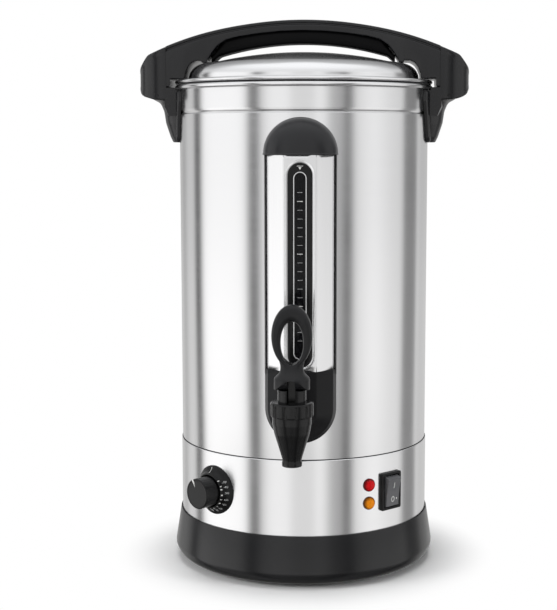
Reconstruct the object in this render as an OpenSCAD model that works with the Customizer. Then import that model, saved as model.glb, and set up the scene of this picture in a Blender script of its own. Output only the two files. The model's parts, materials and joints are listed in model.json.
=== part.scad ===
/* [Body] */
// Outside radius of the vessel wall
body_r = 112; // [100:1:125]
// Thickness of the vessel and lid sheet
sheet_t = 1; // [0.6:0.1:1.4]
// Height of the black base ring above the surface
base_h = 45.5; // [40:0.5:55]
// Height of the steel skirt band between base and vessel
skirt_h = 66.3; // [62:0.1:80]
// Height of the vessel wall that shows above the skirt
wall_h = 319.2; // [310:0.1:380]
// How far the base flares out past the skirt
base_flare = 6; // [2:0.5:10]
// Thickness of the skirt sheet
skirt_t = 0.7; // [0.5:0.1:1]
// Radius of the rolled bead round the vessel's mouth
rim_bead_r = 2.15; // [1.8:0.05:2.5]

/* [Lid] */
// Height of the lid's dome above its flange
lid_rise = 29; // [26:0.5:32]
// Distance of the raised dome's edge from the vessel wall
dome_in = 27; // [26:0.5:36]
// Length of the locating ring that hangs into the vessel
plug_h = 14; // [8:1:20]

/* [Handles] */
// Reach of each side handle from the vessel wall
handle_out = 36.5; // [34:0.5:44]
// Distance of the seam between lid handle and side handle from the vessel wall
seam_out = 12; // [10.5:0.5:15]
// Half width of the side handle
grip_half_w = 24.5; // [20:0.5:28]
// Height of the arch's crown above the vessel's rim
arch_rise = 57.7; // [55:0.1:64]
// Radius of the arch's top curve
arch_r = 328; // [300:2:360]
// Half width of the arch at its crown
arch_half_w = 17; // [14:0.5:20]
// Thickness of the arch's top strip
strip_t = 3; // [2:0.25:4]

/* [Gauge] */
// Direction of the gauge round the body, from the front towards the right
gauge_az = 1.6; // [-3:0.1:3]
// Half width of the gauge's steel channel at the body
channel_half_w = 29.6; // [26:0.2:32]
// Distance of the channel's flat front from the vessel wall
channel_depth = 15.5; // [13:0.5:20]
// Half width of the black bezel
bezel_half_w = 10.15; // [8:0.05:11]
// Half width of the window in the bezel
window_half_w = 5.4; // [4:0.1:7]
// Outside radius of the sight tube
tube_r = 3; // [2.5:0.25:3.5]

/* [Tap] */
// Distance of the tap's axis from the vessel wall
tap_reach = 67; // [60:1:80]
// Height of the tap's inlet above the skirt
tap_h = 40.2; // [36:0.2:44]
// Pull of the tap's lever in degrees
lever_pull = 55; // [30:1:60]
// Rise of the stem at a full pull
stem_lift = 4; // [2:0.25:4.5]
// Radius of the lever's pin
pin_r = 1.75; // [1.25:0.25:2]
// Radius of the threaded shank
shank_r = 8; // [7:0.25:9]

/* [Controls] */
// Direction of the thermostat dial round the body
dial_az = -40.6; // [-50:0.1:-30]
// Radius of the dial plate
dial_r = 21.5; // [18:0.25:22]
// Radius of the knob
knob_r = 13.2; // [11:0.2:15]
// Distance of the knob's face from the skirt
knob_out = 21.5; // [18:0.5:26]
// Direction of the two lamps round the body
lamp_az = 33; // [26:0.5:35]
// Radius of a lamp's lens
lamp_r = 5.7; // [4.5:0.1:6.2]
// Direction of the switch round the body
switch_az = 44.8; // [44:0.2:60]
// Width of the switch's bezel
switch_w = 23.6; // [22:0.2:26]
// Height of the switch's bezel
switch_h = 33; // [31:0.5:36]
// Swing of the rocker in degrees
rocker_swing = 16; // [10:1:18]

/* [Hidden] */
$fn = 96;
STEEL = "#c9cacb";
BLACK = "#232425";
RUBBER = "#2e2e30";
seam = 0.1;
gap = 0.3;
run = 0.05;

// Levels that the pieces share
foot_h = 2;
skirt_top = base_h + skirt_h;
rim_z = skirt_top + wall_h;
floor_z = skirt_top - 7.8;
skirt_r = body_r + seam + skirt_t;
vessel_in = body_r - sheet_t;
control_z = (base_h + skirt_top) / 2;
handle_reach = body_r + handle_out;
seam_r = body_r + seam_out;
dome_r = body_r - dome_in;
// Length of a cut or a blank that runs past everything
beyond = 2 * rim_z;

// Points along an arc about [x, y], from angle a0 to a1
function arc(c, r, a0, a1, n = 10) =
    [for (i = [0:n]) let (a = a0 + (a1 - a0) * i / n) [c.x + r * cos(a), c.y + r * sin(a)]];
// Points along a quarter of an ellipse about [x, y]
function oval(c, rx, ry, a0, a1, n = 10) =
    [for (i = [0:n]) let (a = a0 + (a1 - a0) * i / n) [c.x + rx * cos(a), c.y + ry * sin(a)]];
function flip(points) = [for (i = [len(points) - 1:-1:0]) [-points[i].x, points[i].y]];
// Height of a circle of radius r and crown height top, at distance x from its centre line
function crown(top, r, x) = top - r + sqrt(r * r - x * x);

// Turns a shape that faces the front so that it faces the given direction
module face(az) rotate([0, 0, az]) children();
// A rod that points outwards at the front, from depth d0 to d1 off the centre line
module rod(r, d0, d1, z = 0, x = 0)
    translate([x, 0, z]) rotate([90, 0, 0]) translate([0, 0, d0]) cylinder(r = r, h = d1 - d0);
// An upright slab with round ends, for slots and bezels at the front
module slot(half_w, z0, z1, d0, d1) {
    rod(half_w, d0, d1, z0 + half_w);
    rod(half_w, d0, d1, z1 - half_w);
    translate([-half_w, -d1, z0 + half_w]) cube([2 * half_w, d1 - d0, z1 - z0 - 2 * half_w]);
}
module tube(r_out, r_in, z0, z1)
    translate([0, 0, z0]) difference() {
        cylinder(r = r_out, h = z1 - z0);
        translate([0, 0, -1]) cylinder(r = r_in, h = z1 - z0 + 2);
    }
module post(r, z0, z1, x = 0, y = 0) translate([x, y, z0]) cylinder(r = r, h = z1 - z0);
module block(x0, x1, y0, y1, z0, z1) translate([x0, y0, z0]) cube([x1 - x0, y1 - y0, z1 - z0]);

// ---- Base -------------------------------------------------------------------------------
base_wall = 3;
base_top_r = skirt_r + 0.7;
base_max_r = skirt_r + base_flare + 0.2;
base_round = 12.5;
base_ledge = base_h - 4;
plate_r = base_max_r - base_round - 9;
screw_ring = plate_r - 8;
foot_ring = plate_r - 14;
boss_r = 5;
module base_profile() polygon(concat(
    [[base_top_r, base_h], [skirt_r + seam, base_h], [skirt_r + seam, base_ledge]],
    [[skirt_r - base_wall, base_ledge], [base_max_r - base_wall, foot_h + base_round]],
    arc([base_max_r - base_round, foot_h + base_round], base_round - base_wall, 0, -90),
    [[plate_r + gap, foot_h + base_wall], [plate_r + gap, foot_h]],
    arc([base_max_r - base_round, foot_h + base_round], base_round, -90, 0)));
module base_ring() color(BLACK) difference() {
    union() {
        rotate_extrude() base_profile();
        for (a = [45:90:315]) rotate([0, 0, a]) {
            post(boss_r, foot_h + 1.6, 22, screw_ring);
            block(screw_ring, base_max_r - base_wall - 1, -1.5, 1.5, foot_h + base_wall - 0.5, 20);
        }
    }
    for (a = [45:90:315]) rotate([0, 0, a]) post(2, 0, 18, screw_ring);
}
module bottom_plate() color(STEEL) difference() {
    post(plate_r, foot_h + 0.3, foot_h + 1.5);
    for (a = [45:90:315]) rotate([0, 0, a]) post(2.4, 0, 9, screw_ring);
    for (a = [0:90:270]) rotate([0, 0, a]) post(3, 0, 9, foot_ring);
    for (i = [-3:3]) for (s = [-1, 1])
        block(i * 10 - 2, i * 10 + 2, s * 28 - 14, s * 28 + 14, 0, 9);
}
module bottom_plate_screws() color(STEEL) for (a = [45:90:315]) rotate([0, 0, a]) {
    post(1.9, foot_h + 0.2, 16, screw_ring);
    difference() {
        post(4, foot_h - 1.3, foot_h + 0.3, screw_ring);
        translate([screw_ring - 3, -0.5, foot_h - 2]) cube([6, 1, 1.3]);
    }
}
module rubber_feet() color(RUBBER) for (a = [0:90:270]) rotate([0, 0, a]) {
    translate([foot_ring, 0, 0]) rotate_extrude()
        polygon([[0, 0], [8, 0], [9, 1], [9, foot_h + 0.3], [2.9, foot_h + 0.3],
            [2.9, foot_h + 1.5], [4.2, foot_h + 1.7], [2.2, foot_h + 5], [0, foot_h + 5]]);
}

// ---- Skirt and vessel -------------------------------------------------------------------
shank_z = skirt_top + tap_h;
elbow_z = shank_z + 22;
spigot_r = 4;
bolt_r = 2.3;
bolt_levels = [rim_z - 41, rim_z - 17];
dial_z = control_z;
shaft_r = 3;
bush_r = 5;
lamp_levels = [control_z + 8.2, control_z - 7.8];
lamp_neck_r = lamp_r - 1.2;
inlet_z = control_z;
inlet_w = 27;
inlet_h = 20;
inlet_pitch = 40;
switch_body_w = switch_w - 2.4;
switch_body_h = switch_h - 2.8;
module skirt_band() color(STEEL) difference() {
    tube(skirt_r, body_r + seam, base_ledge + seam, skirt_top);
    face(dial_az) rod(bush_r + seam, 90, 130, dial_z);
    for (z = lamp_levels) face(lamp_az) rod(lamp_neck_r + seam, 90, 130, z);
    face(switch_az) block(-switch_body_w / 2 - seam, switch_body_w / 2 + seam, -130, -90,
        control_z - switch_body_h / 2 - seam, control_z + switch_body_h / 2 + seam);
    face(180) block(-inlet_w / 2 - seam, inlet_w / 2 + seam, -130, -90,
        inlet_z - inlet_h / 2 - seam, inlet_z + inlet_h / 2 + seam);
    face(180) for (x = [-1, 1] * inlet_pitch / 2) rod(1.9, 90, 130, inlet_z, x);
}
corner_r = 6;
bead_z = rim_z - 23.3;
bead_h = 1.1;
rim_c = [body_r + rim_bead_r - 0.3, rim_z - rim_bead_r];
module vessel_profile() polygon(concat(
    [[0, floor_z]],
    arc([body_r - corner_r, floor_z + corner_r], corner_r, -90, 0),
    [[body_r, bead_z - bead_h], [body_r - 0.7, bead_z], [body_r, bead_z + bead_h]],
    arc(rim_c, rim_bead_r, 210, 510, 20),
    [[vessel_in, rim_z - rim_bead_r + 0.5], [vessel_in, bead_z + bead_h]],
    [[vessel_in - 0.7, bead_z], [vessel_in, bead_z - bead_h]],
    arc([body_r - corner_r, floor_z + corner_r], corner_r - sheet_t, 0, -90),
    [[0, floor_z + sheet_t]]));
module vessel() color(STEEL) difference() {
    rotate_extrude($fn = 128) vessel_profile();
    rod(shank_r + 0.3, 90, 130, shank_z);
    face(gauge_az) rod(spigot_r + 0.2, 90, 130, elbow_z);
    for (s = [90, -90]) for (z = bolt_levels) face(s) rod(bolt_r + 0.2, 90, 130, z);
}

// ---- Heater -----------------------------------------------------------------------------
heat_r = 78;
heat_t = 5;
coil_r = 58;
coil_tube = 4;
coil_gap = 40;
heat_z = floor_z - heat_t;
module heat_plate() color("#b9bbbe") difference() {
    post(heat_r, heat_z, floor_z);
    for (a = [0:60:300]) rotate([0, 0, a]) post(4, heat_z - 1, heat_z + 2, 36);
}
module heating_element() color("#8c8c8a") {
    translate([0, 0, heat_z - coil_tube]) rotate([0, 0, dial_az - 90 + coil_gap / 2]) {
        rotate_extrude(angle = 360 - coil_gap) translate([coil_r, 0]) circle(r = coil_tube, $fn = 48);
        for (a = [0, -coil_gap]) rotate([0, 0, a]) {
            translate([coil_r, 0, -20]) cylinder(r = coil_tube + 0.4, h = 23);
            translate([coil_r, 0, -30]) cylinder(r = 1.5, h = 12);
        }
    }
}
module boil_dry_cutout() color("#d8d4c8") {
    post(8.5, heat_z - 8, heat_z);
    post(11.5, heat_z - 1.2, heat_z);
    for (s = [-1, 1]) block(s * 5 - 3, s * 5 + 3, -0.4, 0.4, heat_z - 18, heat_z - 8);
}
thermo_face = body_r - 6;
thermo_half = 13.5;
module thermostat_body() color("#b8b4a6") face(dial_az) difference() {
    union() {
        block(-thermo_half, thermo_half, -thermo_face, -thermo_face + 20,
            dial_z - thermo_half, dial_z + thermo_half);
        rod(bush_r, thermo_face - 1, skirt_r - 0.3, dial_z);
        for (x = [-10, 10])
            block(x - 3, x + 3, -thermo_face + 19, -thermo_face + 30, dial_z - 0.4, dial_z + 0.4);
    }
    rod(shaft_r + run, thermo_face - 12, 130, dial_z);
}
bulb_r = 3;
cap_r = 1.1;
cap_z = heat_z - bulb_r;
module thermostat_bulb() color("#c08a5a") face(dial_az) {
    rod(bulb_r, 18, 72, cap_z);
    rod(cap_r, 71, thermo_face - 8, cap_z);
    translate([0, -thermo_face + 8, dial_z + thermo_half])
        cylinder(r = cap_r + 0.2, h = cap_z - dial_z - thermo_half + cap_r);
}

// ---- Dial -------------------------------------------------------------------------------
plate_t = 1;
pointer_w = 1.2;
knob_gap = 0.6;
shaft_end = skirt_r + knob_out - 5;
module dial_plate() color(BLACK) face(dial_az) difference() {
    intersection() {
        tube(skirt_r + 0.05 + plate_t, skirt_r + 0.05, 0, skirt_top);
        rod(dial_r, 90, 130, dial_z);
    }
    rod(shaft_r + gap, 90, 130, dial_z);
}
knob_back = skirt_r + plate_t + knob_gap;
knob_front = skirt_r + knob_out;
module dial_knob() color(BLACK) face(dial_az) translate([0, 0, dial_z]) rotate([90, 0, 0])
    difference() {
        rotate_extrude() polygon([[0, knob_back], [knob_r + 0.6, knob_back], [knob_r, knob_back + 3],
            [knob_r, knob_front - 1], [knob_r - 1, knob_front], [0, knob_front]]);
        translate([0, 0, knob_back - 1]) cylinder(r = shaft_r, h = shaft_end - knob_back + 1);
        translate([-pointer_w / 2, knob_r - 6, knob_front - 0.6]) cube([pointer_w, 9, 2]);
        translate([-pointer_w / 2, knob_r - 0.6, knob_back + 4]) cube([pointer_w, 2, 30]);
        for (a = [30:20:330]) rotate([0, 0, a]) translate([0, knob_r + 1.1, knob_back + 3.5])
            cylinder(r = 1.5, h = 30, $fn = 16);
    }
module thermostat_shaft() color(STEEL) face(dial_az) rod(shaft_r, thermo_face - 11.5, shaft_end, dial_z);

// ---- Lamps and switch -------------------------------------------------------------------
lens_back = skirt_r + 0.1;
module lens(z) face(lamp_az) translate([0, 0, z]) rotate([90, 0, 0]) rotate_extrude()
    polygon(concat([[0, lens_back], [lamp_r, lens_back], [lamp_r, lens_back + 1]],
        oval([0, lens_back + 1], lamp_r - 0.6, 2.8, 0, 90, 8)));
module lamp_red() color("#c8101a") lens(lamp_levels[0]);
module lamp_amber() color("#f09010") lens(lamp_levels[1]);
module lamp_holders() color("#e4e0d8") for (z = lamp_levels) face(lamp_az) {
    rod(lamp_neck_r, body_r - 22, skirt_r + 0.1, z);
    difference() {
        rod(lamp_neck_r + 1.3, body_r - 7, body_r - 4, z);
        translate([0, 0, z]) for (s = [-1, 1])
            translate([-10, -130, s * lamp_r - (s < 0 ? 5 : 0)]) cube([20, 130, 5]);
    }
    for (x = [-2, 2]) block(x - 0.4, x + 0.4, -body_r + 22, -body_r + 31, z - 1.5, z + 1.5);
}
switch_front = skirt_r + 2.5;
rocker_half_w = switch_w / 2 - 3.6;
rocker_half_h = switch_h / 2 - 3.9;
rocker_depth = 5;
rocker_r = norm([rocker_half_h, rocker_depth]);
rocker_axis = switch_front - rocker_depth + rocker_half_h * sin(rocker_swing / 2) + 0.2;
rocker_drop = 3.5;
trunnion_r = 1.5;
module switch_housing() color(BLACK) face(switch_az) difference() {
    union() {
        difference() {
            block(-switch_w / 2, switch_w / 2, -switch_front, -body_r + 8,
                control_z - switch_h / 2, control_z + switch_h / 2);
            post(skirt_r + 0.05, 0, beyond);
        }
        block(-switch_body_w / 2, switch_body_w / 2, -skirt_r - 0.5, -body_r + 22,
            control_z - switch_body_h / 2, control_z + switch_body_h / 2);
        for (x = [-7, 0, 7])
            block(x - 0.4, x + 0.4, -body_r + 21, -body_r + 32, control_z - 3, control_z + 3);
    }
    block(-rocker_half_w - 0.25, rocker_half_w + 0.25, -150, -rocker_axis + rocker_drop + 3,
        control_z - rocker_r - 0.25, control_z + rocker_r + 0.25);
    translate([-rocker_half_w - 1.4, -rocker_axis, control_z]) rotate([0, 90, 0])
        cylinder(r = trunnion_r + run, h = 2 * rocker_half_w + 2.8);
}
module rocker_side() {
    top = atan2(rocker_half_h, rocker_depth);
    foot = 90 + asin(rocker_drop / rocker_r);
    polygon(concat(arc([0, 0], rocker_r, 180 + foot, 180 + top, 6), [[1.2 - rocker_depth, 0]],
        arc([0, 0], rocker_r, 180 - top, 180 - foot, 6)));
}
module switch_rocker() color(BLACK) face(switch_az) translate([0, -rocker_axis, control_z]) {
    rotate([rocker_swing / 2, 0, 0]) upright_x(rocker_half_w) rocker_side();
    translate([-rocker_half_w - 1.2, 0, 0]) rotate([0, 90, 0])
        cylinder(r = trunnion_r, h = 2 * rocker_half_w + 2.4);
}

// ---- Power inlet at the back ------------------------------------------------------------
inlet_front = skirt_r + 3.4;
inlet_deep = skirt_r - 22;
inlet_flange_w = 50;
inlet_flange_h = 24;
module power_inlet() color(BLACK) face(180) difference() {
    union() {
        difference() {
            block(-inlet_flange_w / 2, inlet_flange_w / 2, -inlet_front, -body_r + 8,
                inlet_z - inlet_flange_h / 2, inlet_z + inlet_flange_h / 2);
            post(skirt_r + 0.05, 0, beyond);
        }
        block(-inlet_w / 2, inlet_w / 2, -skirt_r - 0.5, -inlet_deep,
            inlet_z - inlet_h / 2, inlet_z + inlet_h / 2);
    }
    block(-inlet_w / 2 + 2, inlet_w / 2 - 2, -130, -inlet_deep - 3, inlet_z - inlet_h / 2 + 2, inlet_z + 3);
    block(-inlet_w / 2 + 6, inlet_w / 2 - 6, -130, -inlet_deep - 3,
        inlet_z - inlet_h / 2 + 2, inlet_z + inlet_h / 2 - 2);
    for (x = [-1, 1] * inlet_pitch / 2) rod(1.8, 90, 130, inlet_z, x);
    blades();
}
pin_spots = [[-7, -2.5], [7, -2.5], [0, 2.5]];
module blades() for (p = pin_spots)
    block(p.x - 1, p.x + 1, -inlet_front + 5, -inlet_deep + 8, inlet_z + p.y - 2, inlet_z + p.y + 2);
module inlet_pins() color("#c8b070") face(180) blades();
module inlet_screws() color(STEEL) face(180) for (x = [-1, 1] * inlet_pitch / 2) difference() {
    union() {
        rod(1.7, skirt_r - 8, inlet_front, inlet_z, x);
        rod(3.2, inlet_front, inlet_front + 1.6, inlet_z, x);
    }
    block(x - 2.2, x + 2.2, -inlet_front - 3, -inlet_front - 0.6, inlet_z - 0.4, inlet_z + 0.4);
}

// ---- Gauge ------------------------------------------------------------------------------
channel_t = 0.8;
channel_front = body_r + channel_depth;
channel_flat = 13.5;
cap_z0 = rim_z - 60.7;
housing_z0 = skirt_top + 45.2;
housing_top = skirt_top + 78.9;
channel_z0 = housing_top - 2;
channel_z1 = cap_z0 + 4;
bezel_z0 = housing_top + 3.5;
bezel_z1 = cap_z0 - 6.1;
window_z0 = bezel_z0 + 7.1;
window_z1 = bezel_z1 - 7.8;
facet_x = channel_half_w - 2.7;
facet_d = channel_front - (facet_x - channel_flat);
shoulder_w = channel_half_w - 3;
// Half outline of the channel seen from above: across, and out from the centre line. Both bends keep
// their distance when the outline grows by out
function cover(out) = [[0, channel_front + out], [channel_flat + 0.41 * out, channel_front + out],
    [facet_x + 0.89 * out, facet_d + 0.53 * out], [channel_half_w + out, body_r - 7]];
// The same for the cap, which swells instead
function bulge(out) = concat(
    [[0, channel_front + out]],
    oval([channel_flat, channel_front - 14], shoulder_w - channel_flat + out, 14 + out, 90, 0, 8),
    [[channel_half_w + out, body_r - 7]]);
function both(points) = concat(points, flip(points));
module cover_2d(out) scale([1, -1]) polygon(both(concat(cover(out), [[channel_half_w + out, body_r - 12]])));
module half_2d(line) polygon(concat(line, [[line[len(line) - 1].x, body_r - 12], [0, body_r - 12]]));
module off_body(r = body_r) difference() {
    children();
    post(r + seam, 0, rim_z + 100);
}
module gauge_channel() color(STEEL) face(gauge_az) off_body() difference() {
    translate([0, 0, channel_z0]) linear_extrude(channel_z1 - channel_z0) difference() {
        cover_2d(0);
        cover_2d(-channel_t);
    }
    slot(bezel_half_w + seam, bezel_z0 - seam, bezel_z1 + seam, channel_front - 3, channel_front + 3);
}
cap_wall = 1.4;
tap_boss_r = 15;
tap_seat = channel_front + 1.2;
module gauge_top_cap() color(BLACK) face(gauge_az) off_body() translate([0, 0, cap_z0])
    difference() {
        rotate([90, 0, 0]) rotate_extrude(angle = 180, $fn = 128) half_2d(bulge(seam + cap_wall));
        translate([0, 0, -0.01]) linear_extrude(channel_z1 - cap_z0 + seam) cover_2d(seam);
        rotate([90, 0, 0]) rotate_extrude(angle = 180, $fn = 128) half_2d(bulge(seam - cap_wall));
    }
module lower_dome(out) translate([0, 0, housing_z0]) rotate([-90, 0, 0]) mirror([0, 0, 1])
    rotate_extrude(angle = 180, $fn = 128) half_2d(cover(out));
module gauge_lower_housing() color(BLACK) off_body() difference() {
    union() {
        face(gauge_az) difference() {
            union() {
                translate([0, 0, housing_z0]) linear_extrude(housing_top - housing_z0) cover_2d(seam + 0.5);
                lower_dome(seam + 0.5);
            }
            translate([0, 0, channel_z0 - seam]) linear_extrude(60) cover_2d(seam);
            translate([0, 0, housing_z0]) linear_extrude(60) cover_2d(-1.8);
            translate([0, 0, 0.5]) lower_dome(-1.9);
        }
        rod(tap_boss_r, channel_front - 2, tap_seat, shank_z);
    }
    rod(shank_r + 0.3, 90, 150, shank_z);
}
bezel_front = channel_front + 0.8;
module gauge_bezel() color(BLACK) face(gauge_az) difference() {
    union() {
        slot(bezel_half_w, bezel_z0, bezel_z1, channel_front - 2, bezel_front);
        slot(bezel_half_w + 1.6, bezel_z0 - 1.6, bezel_z1 + 1.6,
            channel_front - 2, channel_front - channel_t - 0.05);
    }
    slot(window_half_w, window_z0, window_z1, channel_front - 4, channel_front + 4);
}
module gauge_window() color("#3a3d40") face(gauge_az)
    slot(window_half_w - 0.05, window_z0 + 0.05, window_z1 - 0.05, channel_front - 2, channel_front + 0.1);
tube_d = channel_front - 3.5 - tube_r;
seal_r = tube_r + 1.2;
fitting_front = tube_d + seal_r + 0.2;
tube_z0 = elbow_z + 4;
tube_z1 = cap_z0 + 10;
module sight_tube() color("#dfe6e8") face(gauge_az) translate([0, -tube_d, 0])
    tube(tube_r, tube_r - 0.8, tube_z0, tube_z1);
module tube_seals() color(RUBBER) face(gauge_az) translate([0, -tube_d, 0]) {
    tube(seal_r, tube_r + 0.02, tube_z0 + 3, tube_z0 + 7);
    tube(seal_r, tube_r + 0.02, tube_z1 - 7, tube_z1 - 3);
}
module tube_elbow() color("#e8e6e0") face(gauge_az) difference() {
    union() {
        block(-6, 6, -fitting_front, -body_r - 2, elbow_z - 6, tube_z0 + 3);
        rod(spigot_r, body_r - 9, body_r + 3, elbow_z);
        rod(6, body_r + seam, body_r + 3, elbow_z);
    }
    rod(2.2, 90, tube_d, elbow_z);
    translate([0, -tube_d, 0]) post(2.2, elbow_z, beyond);
    translate([0, -tube_d, 0]) post(tube_r + 0.02, tube_z0, beyond);
}
module tube_top_plug() color("#e8e6e0") face(gauge_az) off_body() difference() {
    block(-6, 6, -fitting_front, -body_r + 5, tube_z1 - 3, tube_z1 + 5);
    translate([0, -tube_d, 0]) post(tube_r + 0.02, 0, tube_z1);
    translate([0, -tube_d, 0]) post(1, 0, beyond);
}
module elbow_nut() color(STEEL) face(gauge_az) difference() {
    translate([0, 0, elbow_z]) rotate([90, 0, 0]) translate([0, 0, vessel_in - 4])
        cylinder(r = 7, h = 3.4, $fn = 6);
    rod(spigot_r, 90, 130, elbow_z);
}

// ---- Tap --------------------------------------------------------------------------------
tap_d = body_r + tap_reach;
washer_t = 1.6;
barrel_top = shank_z + 18;
seat_z = shank_z - 9;
outlet_z = shank_z - 28.5;
bonnet_r = 17.3;
collar_r = 11.5;
bonnet_top = shank_z + 24;
collar_top = bonnet_top + 10;
stem_r = 4;
tongue = 5.6;
cam_rest = 7;
pin_z = collar_top + cam_rest + run;
lift_per_rad = stem_lift / (lever_pull * PI / 180);
cup_h = 7;
module barrel_profile() polygon([[0, outlet_z], [8, outlet_z], [8, outlet_z + 3], [7.5, outlet_z + 4.5],
    [8.3, outlet_z + 7.5], [11.2, outlet_z + 17], [14.2, outlet_z + 26.5], [15.7, outlet_z + 34.5],
    [15.7, shank_z + 12], [14.8, shank_z + 12], [14.8, barrel_top], [0, barrel_top]]);
module tap_body() color(BLACK) difference() {
    union() {
        translate([0, -tap_d, 0]) rotate_extrude() barrel_profile();
        rod(10.5, tap_seat + washer_t, tap_d, shank_z);
        rod(14, tap_seat + washer_t, tap_seat + 5, shank_z);
        rod(shank_r, vessel_in - 14, tap_seat + 4, shank_z);
    }
    translate([0, -tap_d, 0]) {
        post(12, shank_z + 3, beyond);
        translate([0, 0, seat_z]) cylinder(r1 = 7.5, r2 = 12, h = 12.01);
        post(5, outlet_z - 1, beyond);
        translate([0, 0, outlet_z - 0.01]) cylinder(r1 = 6.6, r2 = 5, h = 5);
    }
    rod(6, vessel_in - 20, tap_d - 4, shank_z);
}
module tap_bonnet() color(BLACK) translate([0, -tap_d, 0]) difference() {
    union() {
        rotate_extrude() polygon([[0, barrel_top + 0.1], [14.9, barrel_top + 0.1], [14.9, shank_z + 12.2],
            [bonnet_r - 0.4, shank_z + 12.2], [bonnet_r, shank_z + 13], [bonnet_r, bonnet_top - 1.5],
            [bonnet_r - 1.5, bonnet_top], [collar_r, bonnet_top], [collar_r, collar_top], [0, collar_top]]);
    }
    post(stem_r + run, 0, beyond);
    for (i = [0:11]) rotate([0, 0, i * 30 + 15]) post(1.3, shank_z, bonnet_top - 2.5, bonnet_r + 0.6);
    block(-3.4, 3.4, -20, 0, bonnet_top + 1, beyond);
}
module tap_stem() color("#3a3a3c") translate([0, -tap_d, 0]) difference() {
    union() {
        post(stem_r, seat_z + 3, bonnet_top - 1);
        block(-tongue / 2, tongue / 2, -tongue / 2, tongue / 2, bonnet_top - 1.5, pin_z + 4.5);
        post(5.4, seat_z + 4, seat_z + 5.5);
    }
    translate([-20, 0, pin_z]) rotate([0, 90, 0]) cylinder(r = pin_r + run, h = 40);
}
module seat_cup() color("#d8d8d4") translate([0, -tap_d, 0]) rotate_extrude() difference() {
    polygon([[0, seat_z + 0.05], [6.2, seat_z + 0.05], [6.9, seat_z + 0.8], [6.9, seat_z + cup_h],
        [0, seat_z + cup_h]]);
    polygon([[0, seat_z + 3], [stem_r, seat_z + 3], [stem_r, seat_z + 4], [5.4, seat_z + 4],
        [5.4, seat_z + 5.5], [stem_r, seat_z + 5.5], [stem_r, seat_z + 10], [0, seat_z + 10]]);
}
// The cam's edge in the lever's own frame, out (+) or in (-) from the pin, and up from it. Each point
// touches the collar at one pull angle, and the distance from the pin grows evenly with the pull.
function cam_point(a) = let (h = cam_rest + lift_per_rad * a * PI / 180)
    [h * sin(a) + lift_per_rad * cos(a), -h * cos(a) + lift_per_rad * sin(a)];
cam_half = 14.4;
module cam_side() polygon(concat(
    [[-cam_half, -1], [-9, -cam_rest], [lift_per_rad, -cam_rest]],
    [for (a = [5:5:lever_pull]) cam_point(a)],
    [[cam_half, 1.5], [9, 5], [-9, 5], [-cam_half, 2]]));
ring_c = 35.5;
ring_half_h = 25.1;
ring_half_w = 16.4;
eye_c = 30;
eye_half_h = 17.1;
eye_half_w = 9;
neck_half_w = 9.2;
function lever_edge() = concat(
    [[cam_half, -cam_rest - 1], [cam_half, 1], [11.5, 4], [neck_half_w, 7], [neck_half_w, 11]],
    oval([0, ring_c], ring_half_w, ring_half_h, -52, 90, 16));
module lever_front() difference() {
    polygon(concat(lever_edge(), flip(lever_edge())));
    polygon(oval([0, eye_c], eye_half_w, eye_half_h, 0, 351, 39));
}
module lever_side() polygon([[-5.5, 62], [-6.6, 52], [-5.2, 30], [-6.5, 12], [-10, 6], [-15, 4], [-15, -9],
    [15, -9], [15, 4], [10, 6], [6.5, 12], [5.2, 30], [6.6, 52], [5.5, 62]]);
module upright_x(w) rotate([90, 0, 90]) translate([0, 0, -w]) linear_extrude(2 * w) children();
module upright_y(w) rotate([90, 0, 0]) translate([0, 0, -w]) linear_extrude(2 * w) children();
module tap_lever() color(BLACK) translate([0, -tap_d, pin_z]) difference() {
    intersection() {
        upright_y(16) lever_front();
        upright_x(17) lever_side();
        union() {
            intersection() {
                post(cam_half, -12, 5);
                upright_x(17) scale([-1, 1]) cam_side();
            }
            block(-17, 17, -17, 17, 3, 70);
        }
    }
    upright_x(tongue / 2 + 0.2) polygon(concat([[-16, -cam_rest - 5], [-16, 2.5]],
        arc([0, 0], 5.9, 155, 0, 8), [[5.9, -cam_rest - 5]]));
    translate([-20, 0, 0]) rotate([0, 90, 0]) cylinder(r = pin_r, h = 40);
}
module lever_pin() color(STEEL) translate([-10.5, -tap_d, pin_z]) rotate([0, 90, 0])
    cylinder(r = pin_r, h = 21);
module tap_washers() color(RUBBER) {
    difference() {
        rod(12.5, tap_seat, tap_seat + washer_t, shank_z);
        rod(shank_r, 90, 150, shank_z);
    }
    difference() {
        rod(11.5, vessel_in - 2.6, vessel_in - 0.6, shank_z);
        rod(shank_r, 90, 150, shank_z);
    }
}
module tap_lock_nut() color(STEEL) difference() {
    translate([0, 0, shank_z]) rotate([90, 0, 0]) translate([0, 0, vessel_in - 8.6])
        cylinder(r = 13, h = 6, $fn = 6);
    rod(shank_r, 90, 150, shank_z);
}

// ---- Side handles -----------------------------------------------------------------------
arch_top = rim_z + arch_rise;
shelf_z = rim_z - 2.1;
under_rim = rim_z - 2 * rim_bead_r - 0.4;
leg_z = rim_z - 50.6;
leg_axis = body_r - 8;
hood_h = 37.5;
flange_t = 3.5;
tip_r = 8;
tip_low = rim_z - 4;
tip_top_x = handle_reach - 9;
pocket_wall = 3.5;
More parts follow.
